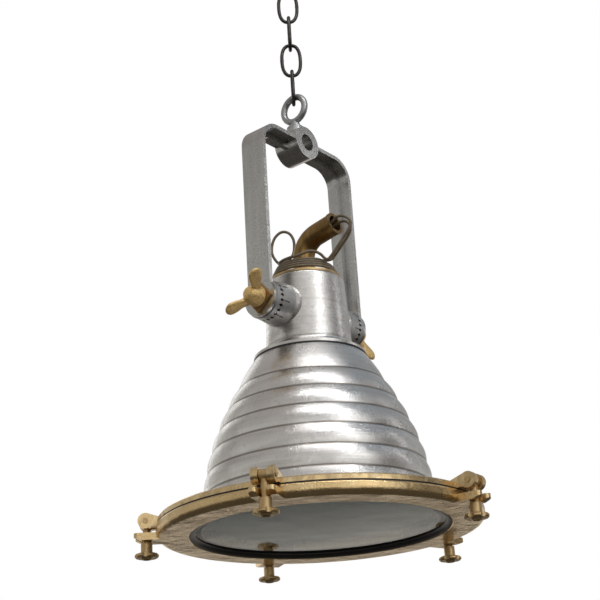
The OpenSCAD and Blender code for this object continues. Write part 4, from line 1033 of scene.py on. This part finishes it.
class LAMP_OT_stage(LampOperator, bpy.types.Operator):
    """Sets the pale floor, the white surroundings and the soft lights"""

    bl_idname = "lamp.stage"
    bl_label = "Stage and lights"

    def make(self, scene):
        self.floor(scene)
        self.surroundings(scene)
        middle = Vector((0, 0, -0.55))
        toward_camera = math.atan2(-0.974773, -1.219377)
        stage = scene.lamp_stage
        # Turn to the right of the camera in degrees, then height, distance and size in metres
        for name, turn, height, distance, size, power in (
            ("Key light", 24, 2.1, 1.2, (1.0, 1.2), stage.key),
            ("Window light", 38, 0.95, 2.2, (1.2, 1.3), stage.window),
            ("Rim light", -150, 0.8, 2.2, (0.8, 1.6), stage.rim),
            ("Left strip", -15, 1.75, 0.85, (0.05, 0.5), stage.sparkle),
            ("Right strip", 42, 1.15, 1.25, (0.05, 0.5), stage.sparkle),
            ("Side strip", 100, 0.6, 1.5, (0.12, 0.9), 0.3 * stage.sparkle),
        ):
            angle = toward_camera + math.radians(turn)
            place = middle + Vector((distance * math.cos(angle), distance * math.sin(angle), height))
            self.soft_light(scene, name, place, middle, size, power)

    @staticmethod
    def soft_light(scene, name, place, target, size, power):
        data = bpy.data.lights.new(name, "AREA")
        data.shape = "RECTANGLE"
        data.size, data.size_y = size
        data.energy = power
        light = bpy.data.objects.new(name, data)
        light.location = place
        light.rotation_mode = "QUATERNION"
        light.rotation_quaternion = (target - place).to_track_quat("-Z", "Y")
        light.visible_camera = False
        scene.collection.objects.link(light)

    @staticmethod
    def floor(scene):
        """A pale floor that is clear from below, so that a low view still sees the lamp"""
        work = bmesh.new()
        bmesh.ops.create_grid(work, x_segments=24, y_segments=24, size=9)
        mesh = mesh_of("Floor", work)
        made, g, shader = new_material("Pale floor")
        tone = g.step(g.noise(g.place(), 1.2, 5), 0.3, 0.8)
        g.feed(shader.inputs["Base Color"], g.mix(tone, (0.80, 0.80, 0.79), (0.74, 0.74, 0.73)))
        g.feed(shader.inputs["Roughness"], g.blend(tone, 0.6, 0.75))
        clear = g.node("ShaderNodeBsdfTransparent").outputs[0]
        back = g.node("ShaderNodeNewGeometry").outputs["Backfacing"]
        either = g.node("ShaderNodeMixShader", {0: back, 1: shader.outputs[0], 2: clear}).outputs[0]
        g.feed(made.node_tree.nodes["Material Output"].inputs["Surface"], either)
        mesh.materials.append(made)
        piece = bpy.data.objects.new("Floor", mesh)
        piece.location.z = scene.lamp_stage.floor
        piece.visible_glossy = False
        piece.visible_diffuse = False
        scene.collection.objects.link(piece)

    @staticmethod
    def surroundings(scene):
        """White to the camera, and a soft grey room to what reflects it"""
        world = bpy.data.worlds.new("Studio")
        scene.world = world
        world.use_nodes = True
        g = Graph(world.node_tree)
        seen = g.node("ShaderNodeLightPath").outputs["Is Camera Ray"]
        direction = g.node("ShaderNodeTexCoord").outputs["Generated"]
        height = g.node("ShaderNodeSeparateXYZ", {0: direction}).outputs["Z"]
        sideways = g.node("ShaderNodeVectorMath", {0: direction, 1: (0.6286, -0.7777, 0.0)},
                          operation="DOT_PRODUCT").outputs["Value"]
        away = g.node("ShaderNodeVectorMath", {0: direction, 1: (0.7777, 0.6286, 0.0)},
                      operation="DOT_PRODUCT").outputs["Value"]
        cloud = g.noise(direction, 2.6, 3)
        facing = g.step(away, -0.10, -0.45)
        right = g.step(sideways, -0.35, 0.55)
        walls = g.mix(right, (0.50, 0.49, 0.46), (0.46, 0.46, 0.45))
        bright = g.math("MULTIPLY", facing, g.math("MULTIPLY", g.step(sideways, -0.45, -0.15),
                                                   g.step(sideways, 0.90, 0.75)))
        walls = g.mix(bright, walls, (0.92, 0.91, 0.88))
        dark = g.math("MULTIPLY", g.step(sideways, 0.86, 0.94), g.step(away, 0.10, -0.05))
        walls = g.mix(g.math("MULTIPLY", dark, 0.8), walls, (0.07, 0.06, 0.055))
        behind = g.math("MULTIPLY", g.step(away, 0.45, 0.9), g.step(height, 0.22, 0.04))
        walls = g.mix(behind, walls, (0.83, 0.78, 0.70))
        ceiling = g.mix(right, (0.40, 0.38, 0.36), (0.27, 0.30, 0.33))
        room = g.mix(g.step(height, 0.35, 0.75), walls, ceiling)
        wavy = g.math("ADD", height, g.math("MULTIPLY", g.math("SUBTRACT", cloud, 0.5), 0.08))
        room = g.mix(g.step(wavy, -0.245, -0.165), (0.075, 0.070, 0.062), room)
        panes = g.step(g.noise(direction, 2.2, 2), 0.48, 0.60)
        room = g.mix(g.math("MULTIPLY", panes, 0.25), room, (0.05, 0.045, 0.04))
        marks = g.math("MULTIPLY", g.step(g.noise(direction, 9.0, 3), 0.50, 0.58),
                       g.math("MULTIPLY", g.step(sideways, 0.62, 0.78), g.step(height, 0.15, 0.3)))
        room = g.mix(g.math("MULTIPLY", marks, 0.85), room, (0.06, 0.035, 0.03))
        background = world.node_tree.nodes["Background"]
        g.feed(background.inputs["Color"], g.mix(seen, room, (1.0, 1.0, 1.0)))
        scene.view_settings.view_transform = "Standard"


class LAMP_PT_panel(bpy.types.Panel):
    """Lists the lamp's steps and settings"""

    bl_idname = "LAMP_PT_panel"
    bl_label = "Cargo pendant lamp"
    bl_space_type = "VIEW_3D"
    bl_region_type = "UI"
    bl_category = "Lamp"

    def draw(self, context):
        for step in STEPS:
            self.layout.operator(step.bl_idname)
        for name in ("lamp_sizes", "lamp_colours", "lamp_stage"):
            settings = getattr(context.scene, name)
            column = self.layout.column()
            for key in settings.bl_rna.properties.keys():
                if key not in {"rna_type", "name"}:
                    column.prop(settings, key)


STEPS = (
    LAMP_OT_camera, LAMP_OT_leads, LAMP_OT_chain, LAMP_OT_yoke, LAMP_OT_tilt_joints, LAMP_OT_neck,
    LAMP_OT_shade, LAMP_OT_rings, LAMP_OT_clamps, LAMP_OT_lens, LAMP_OT_lampholder, LAMP_OT_stage,
)
SETTINGS = {"lamp_sizes": LampSizes, "lamp_colours": LampColours, "lamp_stage": LampStage}


def register():
    for kind in (*SETTINGS.values(), *STEPS, LAMP_PT_panel):
        bpy.utils.register_class(kind)
    for name, kind in SETTINGS.items():
        setattr(bpy.types.Scene, name, PointerProperty(type=kind))


def unregister():
    for name in SETTINGS:
        delattr(bpy.types.Scene, name)
    for kind in (LAMP_PT_panel, *reversed(STEPS), *SETTINGS.values()):
        bpy.utils.unregister_class(kind)


def main():
    register()
    for step in STEPS:
        group_name, operator = step.bl_idname.split(".")
        getattr(getattr(bpy.ops, group_name), operator)()


if __name__ == "__main__":
    main()
